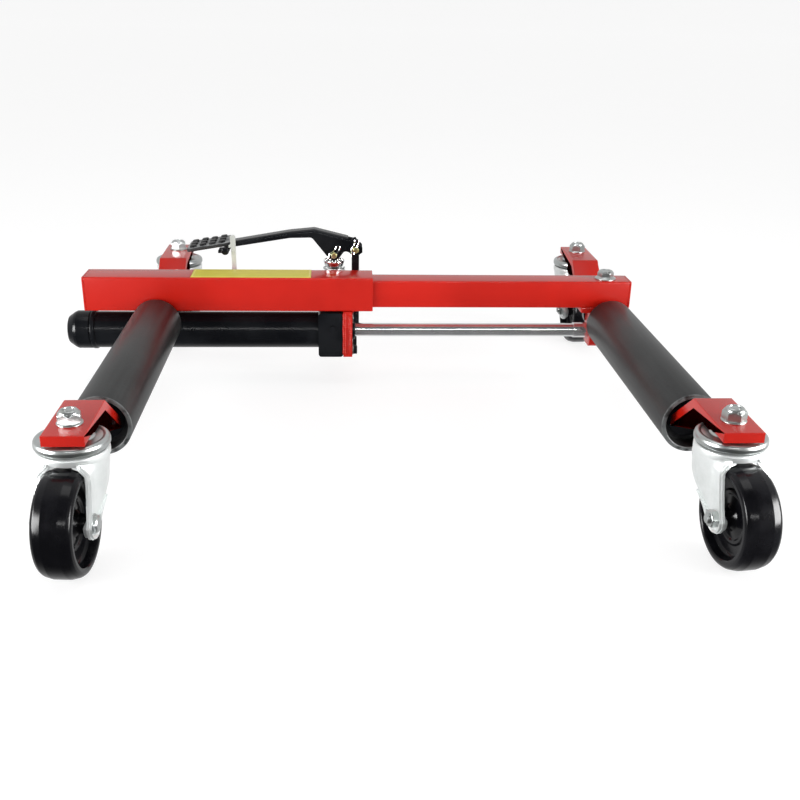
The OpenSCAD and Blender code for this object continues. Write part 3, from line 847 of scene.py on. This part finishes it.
class DOLLY_OT_brackets(DollyOperator, bpy.types.Operator):
    """Bent flat-bar brackets that carry the four casters"""

    bl_idname = "dolly.brackets"
    bl_label = "Brackets"

    def execute(self, context):
        edge = self.sizes(context).edge
        for side in SIDES:
            for end in ENDS:
                node = f"{side}_{end}_bracket"
                lo, hi = span(node)
                y = centre(f"{end}_{side}_swivel_plate")[1]
                way = 1 if end == "front" else -1
                line = bracket_line(hi[2] - BAR_THICK, hi[2])

                def lift(u, v, w, y=y, way=way):
                    return w, y + way * u, v

                bar = plate(line, lo[0], hi[0], edge, lift)
                piece(f"{node}_bar", [bar], FRAME_OF[side], "red", (node,))
        return {"FINISHED"}


def swivel_shells(x, y, top):
    """Pressed swivel race: raised disc, trough and a rim rolled over and down."""
    line = open_corners(
        [[6.1, 0], [18.6, 0], [20.4, -2.4], [27.6, -2.9], [30.4, -1.9], [33.2, -3.2], [34, -6],
         [33.9, -9], [32.4, -10.6], [31.2, -9.6], [31.4, -6.4], [28.9, -5.6], [21.6, -5.6],
         [18, -3.5], [6.1, -3.5]],
        [0, 1.2, 1.2, 1.8, 3, 2.6, 2.4, 1.6, 0.9, 0.8, 1.6, 1.2, 1, 1, 0], 5,
    )
    return [turned(line, (x, y, top), "z", 120, closed=True)]


def kingpin_shells(x, y, bar_top, foot):
    """Kingpin: head under the fork, flanged hexagon nut, locking collar and thread end."""
    washer = boss(
        [[0.3, 0], [12, 0], [12, 0.9], [10.9, 2.2], [0.3, 2.2]], [0, 0.4, 0.5, 0.8, 0],
        (x, y, bar_top), "z",
    )
    body = nut(20, 8.7, (x, y, bar_top + 2), "z", (0.5, 1.6), 0.35)
    collar = boss(
        [[9.3, 10.2], [9.1, 11.6], [7.6, 13.2], [5.6, 13.3], [5.4, 12.4], [0.3, 12.2]],
        [0, 0.8, 1.2, 0.3, 0, 0], (x, y, bar_top), "z", 72,
    )
    end = turned(threads(5.0, 10.5, 13.0, 1.0), (x, y, bar_top), "z", 48)
    shank = shaft(6, 0, 36, (x, y, foot + 3), "z")
    head = nut(17, 6, (x, y, foot), "z")
    return [washer, body, collar, end, shank, head]


def leg_face(y, z, crown_r=33.0, flat=LEG_OUT, corner=-9.6):
    """Sideways place of a leg's outer face: a flat side plus part of the crown's circle. Where
    the circle stands out past the side, less and less of it is left on the way down; where it
    lies inside, at the corners, the face eases out to flat just under the crown."""
    bow = np.maximum(np.sqrt(np.clip(crown_r**2 - y**2, 0, None)) - flat, corner)
    fade = np.interp(z, [44, 52, 60, 70, 80, 90, 98, 104],
                     [0, 0.05, 0.14, 0.3, 0.5, 0.7, 0.82, 0.88])
    tuck = np.interp(z, [60, 75, 92, 94, 96, 98, 101, 104],
                     [0, 0.03, 0.1, 0.15, 0.26, 0.46, 0.82, 1])
    return flat + np.where(bow > 0, bow * fade, bow * tuck)


def fork_shells(tip_r=12.6, crown_z=109.8, thick=2.4):
    """Pressed fork about its own kingpin. A leg is a sheet between its front edge, which runs
    down and round the tip, and its rear edge, joined by straight lines of points.
    Known fault: rim lies outside the front edge by bend, so the face runs past that edge and
    the flange doubles back over it, and behind the tip the face crosses itself."""
    crown = turned(
        corners(
            [[6.05, crown_z], [30, crown_z], [33, crown_z - 1.2], [33, crown_z - 7.5],
             [30.6, crown_z - 7.5], [30.4, crown_z - 3], [6.05, crown_z - 3]],
            [0.2, 2, 2.4, 0.6, 0.6, 2, 0.2], 6,
        ),
        (0, 0, 0), "z", 120, closed=True,
    )
    shells = [crown]
    top = crown_z - 5.4
    rows, tip_rows, bend = 56, 30, 2.0
    down = np.linspace(0, 1, rows)
    round_tip = np.radians(np.linspace(180, 350, tip_rows))[1:]
    front_y = -30 - (TRAIL + tip_r - 30) * down ** 1.15
    edge_y = np.concatenate([front_y, -TRAIL + tip_r * np.cos(round_tip)])
    edge_z = np.concatenate([top + (WHEEL_R - top) * down, WHEEL_R + tip_r * np.sin(round_tip)])
    way = np.stack([np.gradient(edge_y), np.gradient(edge_z)], 1)
    way /= np.linalg.norm(way, axis=1)[:, None]
    out_y, out_z = way[:, 1][:, None], -way[:, 0][:, None]
    t = np.linspace(1, 0.03, rows + tip_rows - 1)
    back_y = -TRAIL + tip_r - 1 + 53 * (1 - (1 - t) ** 2.3)
    back_z = WHEEL_R + (top - WHEEL_R) * t
    edge_y, edge_z = edge_y[:, None], edge_z[:, None]
    rim_y, rim_z = edge_y + bend * out_y, edge_z + bend * out_z
    v = np.linspace(0, 1, 30)[None, :] ** 0.9
    face_y = rim_y + (back_y[:, None] - rim_y) * v
    face_z = rim_z + (back_z[:, None] - rim_z) * v
    face_x = leg_face(face_y, face_z)
    # The flange is as deep as the space beside the wheel's rounded tread allows
    near = np.hypot(edge_y + TRAIL, edge_z - WHEEL_R)
    room = leg_face(rim_y, rim_z) - np.interp(near, [30, 38, 43.5, 46.6, 49, 50.6, 52],
                                            [15, 18.9, 18.9, 17.6, 14.2, 9, 3])
    depth = np.interp(edge_z, [52, 58, 88, 97, 104], [5.8, 3.0, 3.4, 5.2, 9.0])
    depth = np.maximum(np.minimum(depth, room), bend + 0.2)
    a = np.linspace(0, np.pi / 2, 7)[None, :]
    turn_y, turn_z = rim_y - bend * np.sin(a) * out_y, rim_z - bend * np.sin(a) * out_z
    turn_x = leg_face(rim_y, rim_z) - bend * (1 - np.cos(a))
    lip = np.linspace(0, 1, 5)[None, 1:]
    lip_x = leg_face(rim_y, rim_z) - bend - (depth - bend) * lip
    lip_y, lip_z = edge_y + 0 * lip, edge_z + 0 * lip
    x = np.concatenate([lip_x[:, ::-1], turn_x[:, ::-1], face_x[:, 1:]], 1)
    y = np.concatenate([lip_y[:, ::-1], turn_y[:, ::-1], face_y[:, 1:]], 1)
    z = np.concatenate([lip_z[:, ::-1], turn_z[:, ::-1], face_z[:, 1:]], 1)
    for s in (-1, 1):
        grid = np.stack([s * x, y, z], -1)
        shells.append(sheet(grid if s > 0 else grid[:, ::-1], thick))
    return shells


def wheel_shells():
    """Wheel turned about its axle: crowned tread, rim, deep dish, web and hub, the same on
    both sides."""
    r = WHEEL_R
    half = [
        [r, 0], [r - 0.1, 7.4], [r - 1.9, 14.2], [r - 4.0, 17.0], [r - 6.5, 18], [r - 9.6, 18],
        [r - 10.6, 17], [r - 12.2, 9.4], [r - 14.5, 7.2], [27, 6.4], [25, 8], [22.5, 8],
        [20.5, 6.6], [13.0, 8.4], [9.4, 11.5], [8.2, 19.6], [7.8, 20.5], [6.6, 20.5],
    ]
    radii = [0, 1.5, 3.5, 3, 1.2, 0.7, 0.8, 3, 3, 1, 1, 1, 1, 2.5, 2.5, 0.8, 0.4, 0.2]
    points = half + [[a, -b] for a, b in half[::-1]][:-1]
    rounds = radii + radii[::-1][:-1]
    line = corners(points, rounds, 5)
    return [turned(line, (0, -TRAIL, r), "x", 144, closed=True)]


def axle_shells():
    """Axle bolt: domed head on one side, nut and thread end on the other."""
    out, z = LEG_OUT, WHEEL_R
    at = (0, -TRAIL, z)
    shank = shaft(5, -out - 2, out + 2, at, "x")
    sleeve = pipe(5.05, 6.5, -20.6, 20.6, 0.1, 2, at, "x", 64)
    pad = boss([[0.3, out], [9.4, out], [9.2, out + 1.4], [0.3, out + 1.5]], 0.4, at, "x")
    head = turned(
        dense(open_corners(
            [[9, out + 1], [8.7, out + 3.2], [6.2, out + 5.2], [0.3, out + 5.6]],
            [0, 1.2, 2, 0]), 3),
        at, "x", 72, corner=hexagon(15.2, 0.3),
    )
    hexed = nut(15, 6.4, (-out - 6.6, -TRAIL, z), "x", (1.2, 0), 0.2)
    end = moved(
        turned(threads(5.0, 0, 9.4, 1.2), (out, -TRAIL, z), "x", 48),
        lambda p: p * np.array([-1, 1, 1]),
    )
    return [shank, sleeve, pad, head, hexed, end]


class DOLLY_OT_casters(DollyOperator, bpy.types.Operator):
    """Four swivel casters: race, kingpin, pressed fork, axle bolt and wheel"""

    bl_idname = "dolly.casters"
    bl_label = "Casters"

    def execute(self, context):
        sizes = self.sizes(context)
        for side in SIDES:
            pins = []
            for end in ENDS:
                name = f"{end}_{side}"
                hi = span(f"{name}_swivel_plate")[1]
                x, y = centre(f"{name}_swivel_plate")[:2]
                place = spun(x, y, getattr(sizes, f"yaw_{name}"))
                piece(f"{name}_race", swivel_shells(x, y, hi[2]), FRAME_OF[side], "zinc",
                      (f"{name}_swivel_plate",), 50)
                bar_top = span(f"{side}_{end}_bracket")[1][2]
                pins += kingpin_shells(x, y, bar_top, span(f"{side}_kingpins")[0][2])
                parts = [moved(s, place) for s in fork_shells()]
                piece(f"{name}_yoke", parts, f"{name}_caster", "fork",
                      (f"{name}_fork",), 50)
                bolt = [moved(s, place) for s in axle_shells()]
                piece(f"{name}_axle", bolt, f"{name}_caster", "zinc",
                      (f"{name}_axle_bolt",))
                wheel = [moved(s, place) for s in wheel_shells()]
                piece(f"{name}_roll", wheel, f"{name}_caster_wheel", "wheel",
                      (f"{name}_wheel",), 40)
            piece(f"{side}_pins", pins, FRAME_OF[side], "zinc", (f"{side}_kingpins",))
            repaint(f"{side}_swivel_balls", "steel")
        return {"FINISHED"}


class DOLLY_OT_ram(DollyOperator, bpy.types.Operator):
    """Hydraulic ram: tube, end cap, valve block, flange, bolts, gland and rod"""

    bl_idname = "dolly.ram"
    bl_label = "Ram"

    def execute(self, context):
        lo, hi = span("ram_tube")
        y, z = centre("ram_tube")[1:]
        r = RAM_R
        cap = span("ram_end_cap")
        x0, x1 = cap[0][0], cap[1][0]
        tube = turned(
            corners([[r - 4, lo[0]], [r, lo[0]], [r, x1 + 1.5], [r + 1.5, x1 + 2],
                     [r + 1.5, x1 + 7], [r, x1 + 7.6], [r, hi[0]], [r - 4, hi[0]]],
                    [0.2, 0.2, 0.3, 0.8, 0.8, 0.6, 0.2, 0.2], 4),
            (0, y, z), "x", 144, closed=True,
        )
        piece("ram_barrel", [tube], "fixed_frame", "black", ("ram_tube",))
        dome = boss(
            [[0.3, x0 + 0.6], [8, x0], [r - 6.5, x0], [r - 0.5, x0 + 8.5], [r + 1, x0 + 12],
             [r + 1, x1], [r, x1 + 0.2], [r, x0 + 11], [0.3, x0 + 11]],
            [0, 1, 3, 3, 2, 0.8, 0.1, 0.5, 0], (0, y, z), "x", 144, 6,
        )
        piece("ram_cap", [dome], "fixed_frame", "black", ("ram_end_cap",), 50)
        repaint("valve_block", "black")
        lo, hi = span("flange_plate")
        repaint("flange_plate", "red")
        front, top = lo[1], hi[2]
        runs = (
            ([lo[0] + 1.5, front + 0.6, lo[2] + 2], [lo[0] + 1.5, front + 0.6, top - 1], 2.6, 21),
            ([hi[0] - 3.2, front + 0.8, lo[2] + 3], [hi[0] - 3.2, front + 0.8, top - 2], 2.3, 23),
            ([hi[0] + 0.4, front + 4, top - 0.6], [hi[0] + 0.4, 20, top - 0.6], 1.8, 22),
        )
        welds = [
            bead([start, stop], size, (0, 0, 1) if seed == 22 else (1, 0, 0), seed)
            for start, stop, size, seed in runs
        ]
        piece("flange_welds", welds, "fixed_frame", "red")
        face = hi[0]
        bolts = []
        for by, bz in BLOCK_BOLTS:
            bolts.append(shaft(4, -11, 0.4, (face, by, bz), "x", 32))
            bolts.append(nut(11, 5, (face + 1.5, by, bz), "x", (0, 1.2), 0.3 * by))
        washers = [
            pipe(4.1, 7, 0, 1.5, 0.3, 3, (face, by, bz), "x", 48) for by, bz in BLOCK_BOLTS
        ]
        plug_y = span("valve_block")[0][1]
        bolts.append(boss(
            [[0.3, -3], [3.4, -3], [3.4, 0.3], [2.6, 0.5], [1.5, 0.5], [1.4, -0.8], [0.3, -0.8]],
            [0, 0, 0.3, 0.1, 0, 0, 0], (-71, plug_y, 80), "y", 32,
        ))
        piece("flange_bolts", bolts, "fixed_frame", "black", ("block_bolts",))
        piece("flange_washers", washers, "fixed_frame", "zinc")
        lo, hi = span("rod_gland")
        gland = pipe(9.06, 13, lo[0], hi[0], [0.1, 0.3, 1.4, 0.4], 5, (0, y, z), "x", 96)
        piece("gland_ring", [gland], "fixed_frame", "black", ("rod_gland",))
        lo, hi = span("piston_rod")
        rod = turned(
            np.concatenate([
                open_corners([[0.3, lo[0]], [9, lo[0]], [9, 257], [10.2, 257.2], [10.2, 276.8],
                              [7, 277.2], [7, 288]], [0, 0.5, 0, 0.5, 0.5, 0.2, 0]),
                threads(7.0, 289, hi[0], 1.5),
            ]),
            (0, y, z), "x", 96,
        )
        piece("ram_rod", [rod], "sliding_frame", "rod", ("piston_rod",))
        repaint("piston", "steel")
        lo, hi = span("rod_nut")
        ring = pipe(7.02, 13, 0, 2, 0.4, 3, (lo[0], y, z), "x", 64)
        hexed = nut(22, hi[0] - lo[0] - 2, (lo[0] + 2, y, z), "x", (0, 1.2), 0.2, bore=7.02)
        piece("rod_lock_nut", [ring, hexed], "sliding_frame", "zinc", ("rod_nut",))
        return {"FINISHED"}


class DOLLY_OT_pump(DollyOperator, bpy.types.Operator):
    """Pump: cylinder, plunger, return spring, cap, upright and release knob"""

    bl_idname = "dolly.pump"
    bl_label = "Pump"

    def execute(self, context):
        lo, hi = span("pump_cylinder")
        x, y = centre("pump_cylinder")[:2]
        barrel = pipe(8.06, 11, lo[2], hi[2], [0.1, 0.2, 1.6, 0.4], 5, (x, y, 0), "z", 96)
        piece("pump_barrel", [barrel], "fixed_frame", "black", ("pump_cylinder",))
        repaint("pump_plunger", "chrome")
        lo, hi = span("spring_cap")
        cup = turned(
            corners([[8.02, lo[2]], [10, lo[2]], [12.8, lo[2] + 3.4], [14.2, lo[2] + 8],
                     [14.2, hi[2]], [12.7, hi[2]], [12.4, lo[2] + 7.6], [10.8, lo[2] + 4.6],
                     [8.02, lo[2] + 3.8]],
                    [0.2, 1.5, 3, 2, 0.7, 0.7, 2, 1.5, 0.2], 6),
            (x, y, 0), "z", 120, closed=True,
        )
        piece("spring_cup", [cup], "plunger", "chrome", ("spring_cap",), 60)
        lo, hi = span("pump_spring")
        turns, wire = SPRING_TURNS, SPRING_WIRE
        t = np.linspace(0, 1, int(turns * 40))
        rise = np.interp(t, [0, 0.12, 0.88, 1], [0, 0.03, 0.97, 1])
        z = lo[2] + wire + (hi[2] - lo[2] - 2 * wire) * rise
        a = 2 * np.pi * turns * t
        reach = SPRING_R - wire
        coil = np.stack([x + reach * np.cos(a), y + reach * np.sin(a), z], 1)
        spring = piece("return_spring", [swept(disc(wire, 12), coil, (0, 0, 1))], "fixed_frame",
                       "zinc")
        spring.parent = None
        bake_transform(spring)
        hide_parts("pump_spring")
        repaint("fulcrum_bar", "black")
        repaint("release_knob", "knob")
        return {"FINISHED"}


def lever_grid():
    """Lever sheet: an upside-down U carried along the lever, whose top and lower edges are
    lines of height by distance."""
    top = open_corners([[-224, 167.8], [-211, 169.6], [-205.5, 180.2], [-128, 193.8], [-95, 197.3],
                        [-45, 185], [-38, 183.8], [-31, 176]], [0, 3, 3, 30, 9, 8, 7, 0], 9)
    foot = open_corners([[-224, 164.8], [-210, 165.2], [-206.5, 173.0], [-128, 185.8],
                         [-98.5, 186.6], [-76, 158.5], [-69, 155.4], [-62, 158.8],
                         [-55, 168.6], [-48.5, 167], [-44.5, 161.6], [-38.5, 160.4],
                         [-31, 166.5]],
                        [0, 2, 2, 20, 6, 5, 7, 5, 5, 4, 4, 6, 0], 7)
    x = np.unique(np.concatenate([
        np.linspace(-224, -204, 16), np.linspace(-204, -104, 40), np.linspace(-104, -30.6, 90)
    ]))
    zt = np.interp(x, top[:, 0], top[:, 1])
    zb = np.interp(x, foot[:, 0], foot[:, 1])
    return x, zt, zb


class DOLLY_OT_pedal(DollyOperator, bpy.types.Operator):
    """Foot pedal: pressed lever, worn pad with raised grips, pins, clips, bolt and latch"""

    bl_idname = "dolly.pedal"
    bl_label = "Pedal and latch"

    def execute(self, context):
        body = "foot_pedal"
        x, zt, zb = lever_grid()
        y0, y1 = LEVER_Y
        r = np.minimum(4.2, (zt - zb) * 0.45)[:, None]
        zt, zb = zt[:, None], zb[:, None]
        up = np.linspace(0, 1, 6)[None, :]
        arc = np.linspace(0, np.pi / 2, 7)[None, :]
        across = np.linspace(0, 1, 5)[None, 1:-1]
        one = np.ones_like(r)
        ys = [y0 * one * np.ones_like(up), y0 + r * (1 - np.cos(arc)),
              y0 + r + (y1 - y0 - 2 * r) * across]
        zs = [zb + (zt - r - zb) * up, zt - r + r * np.sin(arc), zt * np.ones_like(across)]
        ys += [y0 + y1 - ys[1][:, ::-1], y0 + y1 - ys[0][:, ::-1]]
        zs += [zs[1][:, ::-1], zs[0][:, ::-1]]
        yy, zz = np.concatenate(ys, 1), np.concatenate(zs, 1)
        grid = np.stack([np.repeat(x[:, None], yy.shape[1], 1), yy, zz], -1)
        full = sheet(grid[x <= -49], LEVER_THICK)
        shells = [full]
        tail = grid[x >= -50]
        shells += [sheet(tail[:, :9], LEVER_THICK), sheet(tail[:, -9:], LEVER_THICK)]
        nub = corners([[-48, 182], [-40, 181], [-39, 187.8], [-42, 187.2]], [0.4, 0.4, 1, 1], 4)
        nub = plate(nub, y0 + 0.1, y0 + 2.9, 0.5, along_y)
        shells.append(nub)
        piece("lever_channel", shells, body, "black", ("pedal_lever",), 40)
        lo = span("pedal_pad")[0]
        slope = math.atan(10 / 60)
        c, s = math.cos(slope), math.sin(slope)

        def tilt(u, v, w):
            return lo[0] + c * u - s * w + 0.8, v, 169.5 + s * u + c * w

        deck = plate(box_outline(0, 59.5, 40, 90, 5), -4.5, 0, 1.3, tilt)
        piece("pad_deck", [deck], body, "pad", ("pedal_pad",))
        grips = []
        rad = np.array([1.0, 1.0, 0.96, 0.86, 0.7, 0.4, 0.05])[:, None]
        rise = np.array([-0.4, 1.5, 2.1, 2.45, 2.55, 2.6, 2.6])[:, None]
        t = np.linspace(0, 2 * np.pi, 20, endpoint=False)[None, :]
        bulge = (np.abs(np.cos(t)) ** 4 + np.abs(np.sin(t)) ** 4) ** -0.25
        for i in range(4):
            for j in range(3):
                u = 8.5 + i * 13 + 4.4 * rad * bulge * np.cos(t)
                v = 49.5 + j * 15 + (i % 2) * 2 + 5.6 * rad * bulge * np.sin(t)
                w = rise * np.ones_like(t)
                grips.append(skin(np.stack(tilt(u, v, w), -1), round_v=True, ends=True))
        piece("pad_grips", grips, body, "grip", sharp=50)
        pins, clips = [], []
        for k, (px, pz) in enumerate(((-69.0, 163.0), (-39.5, 170.5))):
            pins.append(boss(
                [[0.3, y0 - 4.4], [3.2, y0 - 4.4], [4, y0 - 3.6], [4, y1 + 0.6], [6, y1 + 0.6],
                 [6, y1 + 2.2], [5.2, y1 + 2.8], [0.3, y1 + 2.8]],
                [0, 0.5, 0.4, 0.1, 0.3, 0.5, 0.5, 0], (px, 0, pz), "y", 48,
            ))
            tilt_pin = math.radians(44 + 22 * k)
            # Spring clip: straight leg through the pin, round loop, and a leg that waves back
            way = dense([[-9, 0], [8, 0], [10.6, 0.6], [12.4, 2.3], [12.6, 4.4], [11, 5.8],
                         [8.6, 5.4], [6.4, 3.9], [3.2, 4.7], [0, 5.2], [-3.2, 4.7], [-6, 2.6],
                         [-9.5, 2.2]], 6)
            smooth = np.apply_along_axis(
                lambda q: np.convolve(np.pad(q, 4, mode="edge"), np.ones(9) / 9, "valid"), 0, way
            )
            cx, sx = math.cos(tilt_pin), math.sin(tilt_pin)
            run = np.stack([
                px + 1.12 * (cx * smooth[:, 0] - sx * smooth[:, 1]),
                np.full(len(smooth), y0 - 2.6),
                pz + 1.12 * (sx * smooth[:, 0] + cx * smooth[:, 1]),
            ], 1)
            clips.append(swept(disc(0.8, 10), run, (0, 1, 0)))
        piece("lever_pins", pins, body, "gold", ("pedal_pins",))
        piece("spring_clips", clips, body, "chrome")
        bolt = []
        stud_x, _, stud_z = centre("pedal_bolt")
        for by, way, r in ((y0 - 4.5, -1, 5.2), (y1, 1, 4.3)):
            line = open_corners([[0.3, 0], [r, 0], [r, 2.4], [r - 1.2, 3.8], [0.3, 4.2]],
                                [0, 0.4, 1, 1.5, 0])
            bolt.append(turned(line * np.array([1, way]), (stud_x, by, stud_z), "y", 48))
        bolt.append(shaft(3, y0 - 5, y1 + 5, (stud_x, 0, stud_z), "y", 32))
        piece("latch_stud", bolt, body, "black", ("pedal_bolt",))
        repaint("latch_hook", "fork")
        repaint("latch_pivot_bolt", "zinc")
        return {"FINISHED"}


def studio_air():
    """World light for reflections: bright behind the dolly and dim in front of it."""
    world = bpy.data.worlds.new("studio_air")
    world.use_nodes = True
    tree = world.node_tree
    place = tree.nodes.new("ShaderNodeTexCoord").outputs["Generated"]
    parts = tree.nodes.new("ShaderNodeSeparateXYZ")
    tree.links.new(place, parts.inputs[0])
    ramp = tree.nodes.new("ShaderNodeMapRange")
    ramp.interpolation_type = "SMOOTHSTEP"
    limits = {"From Min": -0.35, "From Max": 0.45, "To Min": 0.05, "To Max": 0.72}
    for key, value in limits.items():
        ramp.inputs[key].default_value = value
    tree.links.new(parts.outputs["Y"], ramp.inputs["Value"])
    tree.links.new(ramp.outputs[0], tree.nodes["Background"].inputs["Strength"])
    tree.nodes["Background"].inputs["Color"].default_value = (1, 1, 1, 1)
    return world


class DOLLY_OT_studio(DollyOperator, bpy.types.Operator):
    """Pale floor, soft lights and the camera"""

    bl_idname = "dolly.studio"
    bl_label = "Studio"

    def execute(self, context):
        scene = context.scene
        tone = tuple(scene.dolly_look.floor)
        line = np.concatenate([
            [[0.5, 0.0], [2.0, 0.0], [8.0, 0.0], [16.0, 0.0]],
            np.stack([16 + 8 * np.sin(k := np.linspace(0.1, 1.45, 14)), 8 - 8 * np.cos(k)], 1),
            [[24.0, 9.0], [24.0, 16.0]],
        ])
        t = np.linspace(0, 2 * np.pi, 96, endpoint=False)[None, :]
        r = line[:, :1]
        grid = np.stack([r * np.cos(t), r * np.sin(t), line[:, 1:] + 0 * t], -1)
        points, quads, _ = skin(grid, round_v=True)
        mesh = bpy.data.meshes.new("floor")
        mesh.from_pydata(points.tolist(), [], quads.tolist() + [list(range(len(t[0])))])
        mesh.shade_smooth()
        floor = bpy.data.objects.new("floor", mesh)
        scene.collection.objects.link(floor)
        f = Finish("floor_pale", Roughness=0.9, Specular_IOR_Level=0.0)
        f.set(Base_Color=f.blend(f.noise(3, 2), tone, [k * 0.98 for k in tone]))
        f.set(Emission_Color=f.blend(f.noise(3, 2), (1, 1, 1), (0.995, 0.995, 0.995)))
        f.shader.inputs["Emission Strength"].default_value = 0.78
        mesh.materials.append(f.material)
        floor.visible_glossy = False
        scene.world = studio_air()
        # Boxes light the paint; cards are seen only as reflections in it
        for name, place, aim, w, h, watts, card in (
            ("box_left", (-1.5, -0.75, 0.4), (-0.25, -0.3, 0.08), 0.9, 0.7, 22, False),
            ("box_right", (1.5, -0.75, 0.4), (0.3, -0.3, 0.08), 0.9, 0.7, 22, False),
            ("box_top", (0.0, -0.1, 2.2), (0.0, 0.0, 0.0), 1.6, 0.9, 9, False),
            ("card_left", (-1.45, -0.8, 0.36), (-0.3, -0.5, 0.06), 0.8, 0.6, 28, True),
            ("card_right", (1.45, -0.8, 0.36), (0.3, -0.5, 0.06), 0.8, 0.6, 28, True),
            ("card_front", (0.08, -2.3, 1.05), (0.08, 0.0, 0.08), 1.64, 0.05, 8, True),
        ):
            light = bpy.data.lights.new(name, "AREA")
            light.shape, light.size, light.size_y, light.energy = "RECTANGLE", w, h, watts
            lamp = bpy.data.objects.new(name, light)
            lamp.location = place
            lamp.visible_camera = False
            lamp.visible_diffuse = not card
            way = np.array(aim) - np.array(place)
            pitch = math.atan2(math.hypot(way[0], way[1]), -way[2])
            lamp.rotation_euler = (pitch, 0, math.atan2(-way[0], way[1]))
            scene.collection.objects.link(lamp)
        camera = bpy.data.objects.new("camera", bpy.data.cameras.new("camera"))
        camera.location = np.array([-61.67, -1319.42, 486.59]) * MM + ORIGIN
        camera.rotation_euler = Euler([math.radians(k) for k in (66.629, -1.093, -3.235)])
        camera.data.sensor_width = 36.0
        camera.data.lens = 45.71
        camera.data.shift_x, camera.data.shift_y = -0.00083, 0.0431
        camera.data.clip_end = 200.0
        scene.collection.objects.link(camera)
        scene.camera = camera
        scene.view_settings.view_transform = "Standard"
        return {"FINISHED"}


OPERATORS = (
    DOLLY_OT_beam, DOLLY_OT_rollers, DOLLY_OT_brackets, DOLLY_OT_casters, DOLLY_OT_ram,
    DOLLY_OT_pump, DOLLY_OT_pedal, DOLLY_OT_studio,
)


class DOLLY_PT_panel(bpy.types.Panel):
    """Lists the dolly's pieces and settings"""

    bl_label = "Wheel dolly"
    bl_idname = "DOLLY_PT_panel"
    bl_space_type = "VIEW_3D"
    bl_region_type = "UI"
    bl_category = "Dolly"

    def draw(self, context):
        for group in (context.scene.dolly_look, context.scene.dolly_sizes):
            for key in group.bl_rna.properties.keys():
                if key not in ("rna_type", "name"):
                    self.layout.prop(group, key)
        for kind in OPERATORS:
            self.layout.operator(kind.bl_idname)


CLASSES = (DollyLook, DollySizes) + OPERATORS + (DOLLY_PT_panel,)


def register():
    for kind in CLASSES:
        bpy.utils.register_class(kind)
    bpy.types.Scene.dolly_look = PointerProperty(type=DollyLook)
    bpy.types.Scene.dolly_sizes = PointerProperty(type=DollySizes)


def unregister():
    del bpy.types.Scene.dolly_sizes
    del bpy.types.Scene.dolly_look
    for kind in reversed(CLASSES):
        bpy.utils.unregister_class(kind)


def main():
    """Builds the dolly in order."""
    register()
    prepare_finishes(bpy.context.scene.dolly_look)
    for kind in OPERATORS:
        group, name = kind.bl_idname.split(".")
        getattr(getattr(bpy.ops, group), name)()


if __name__ == "__main__":
    main()
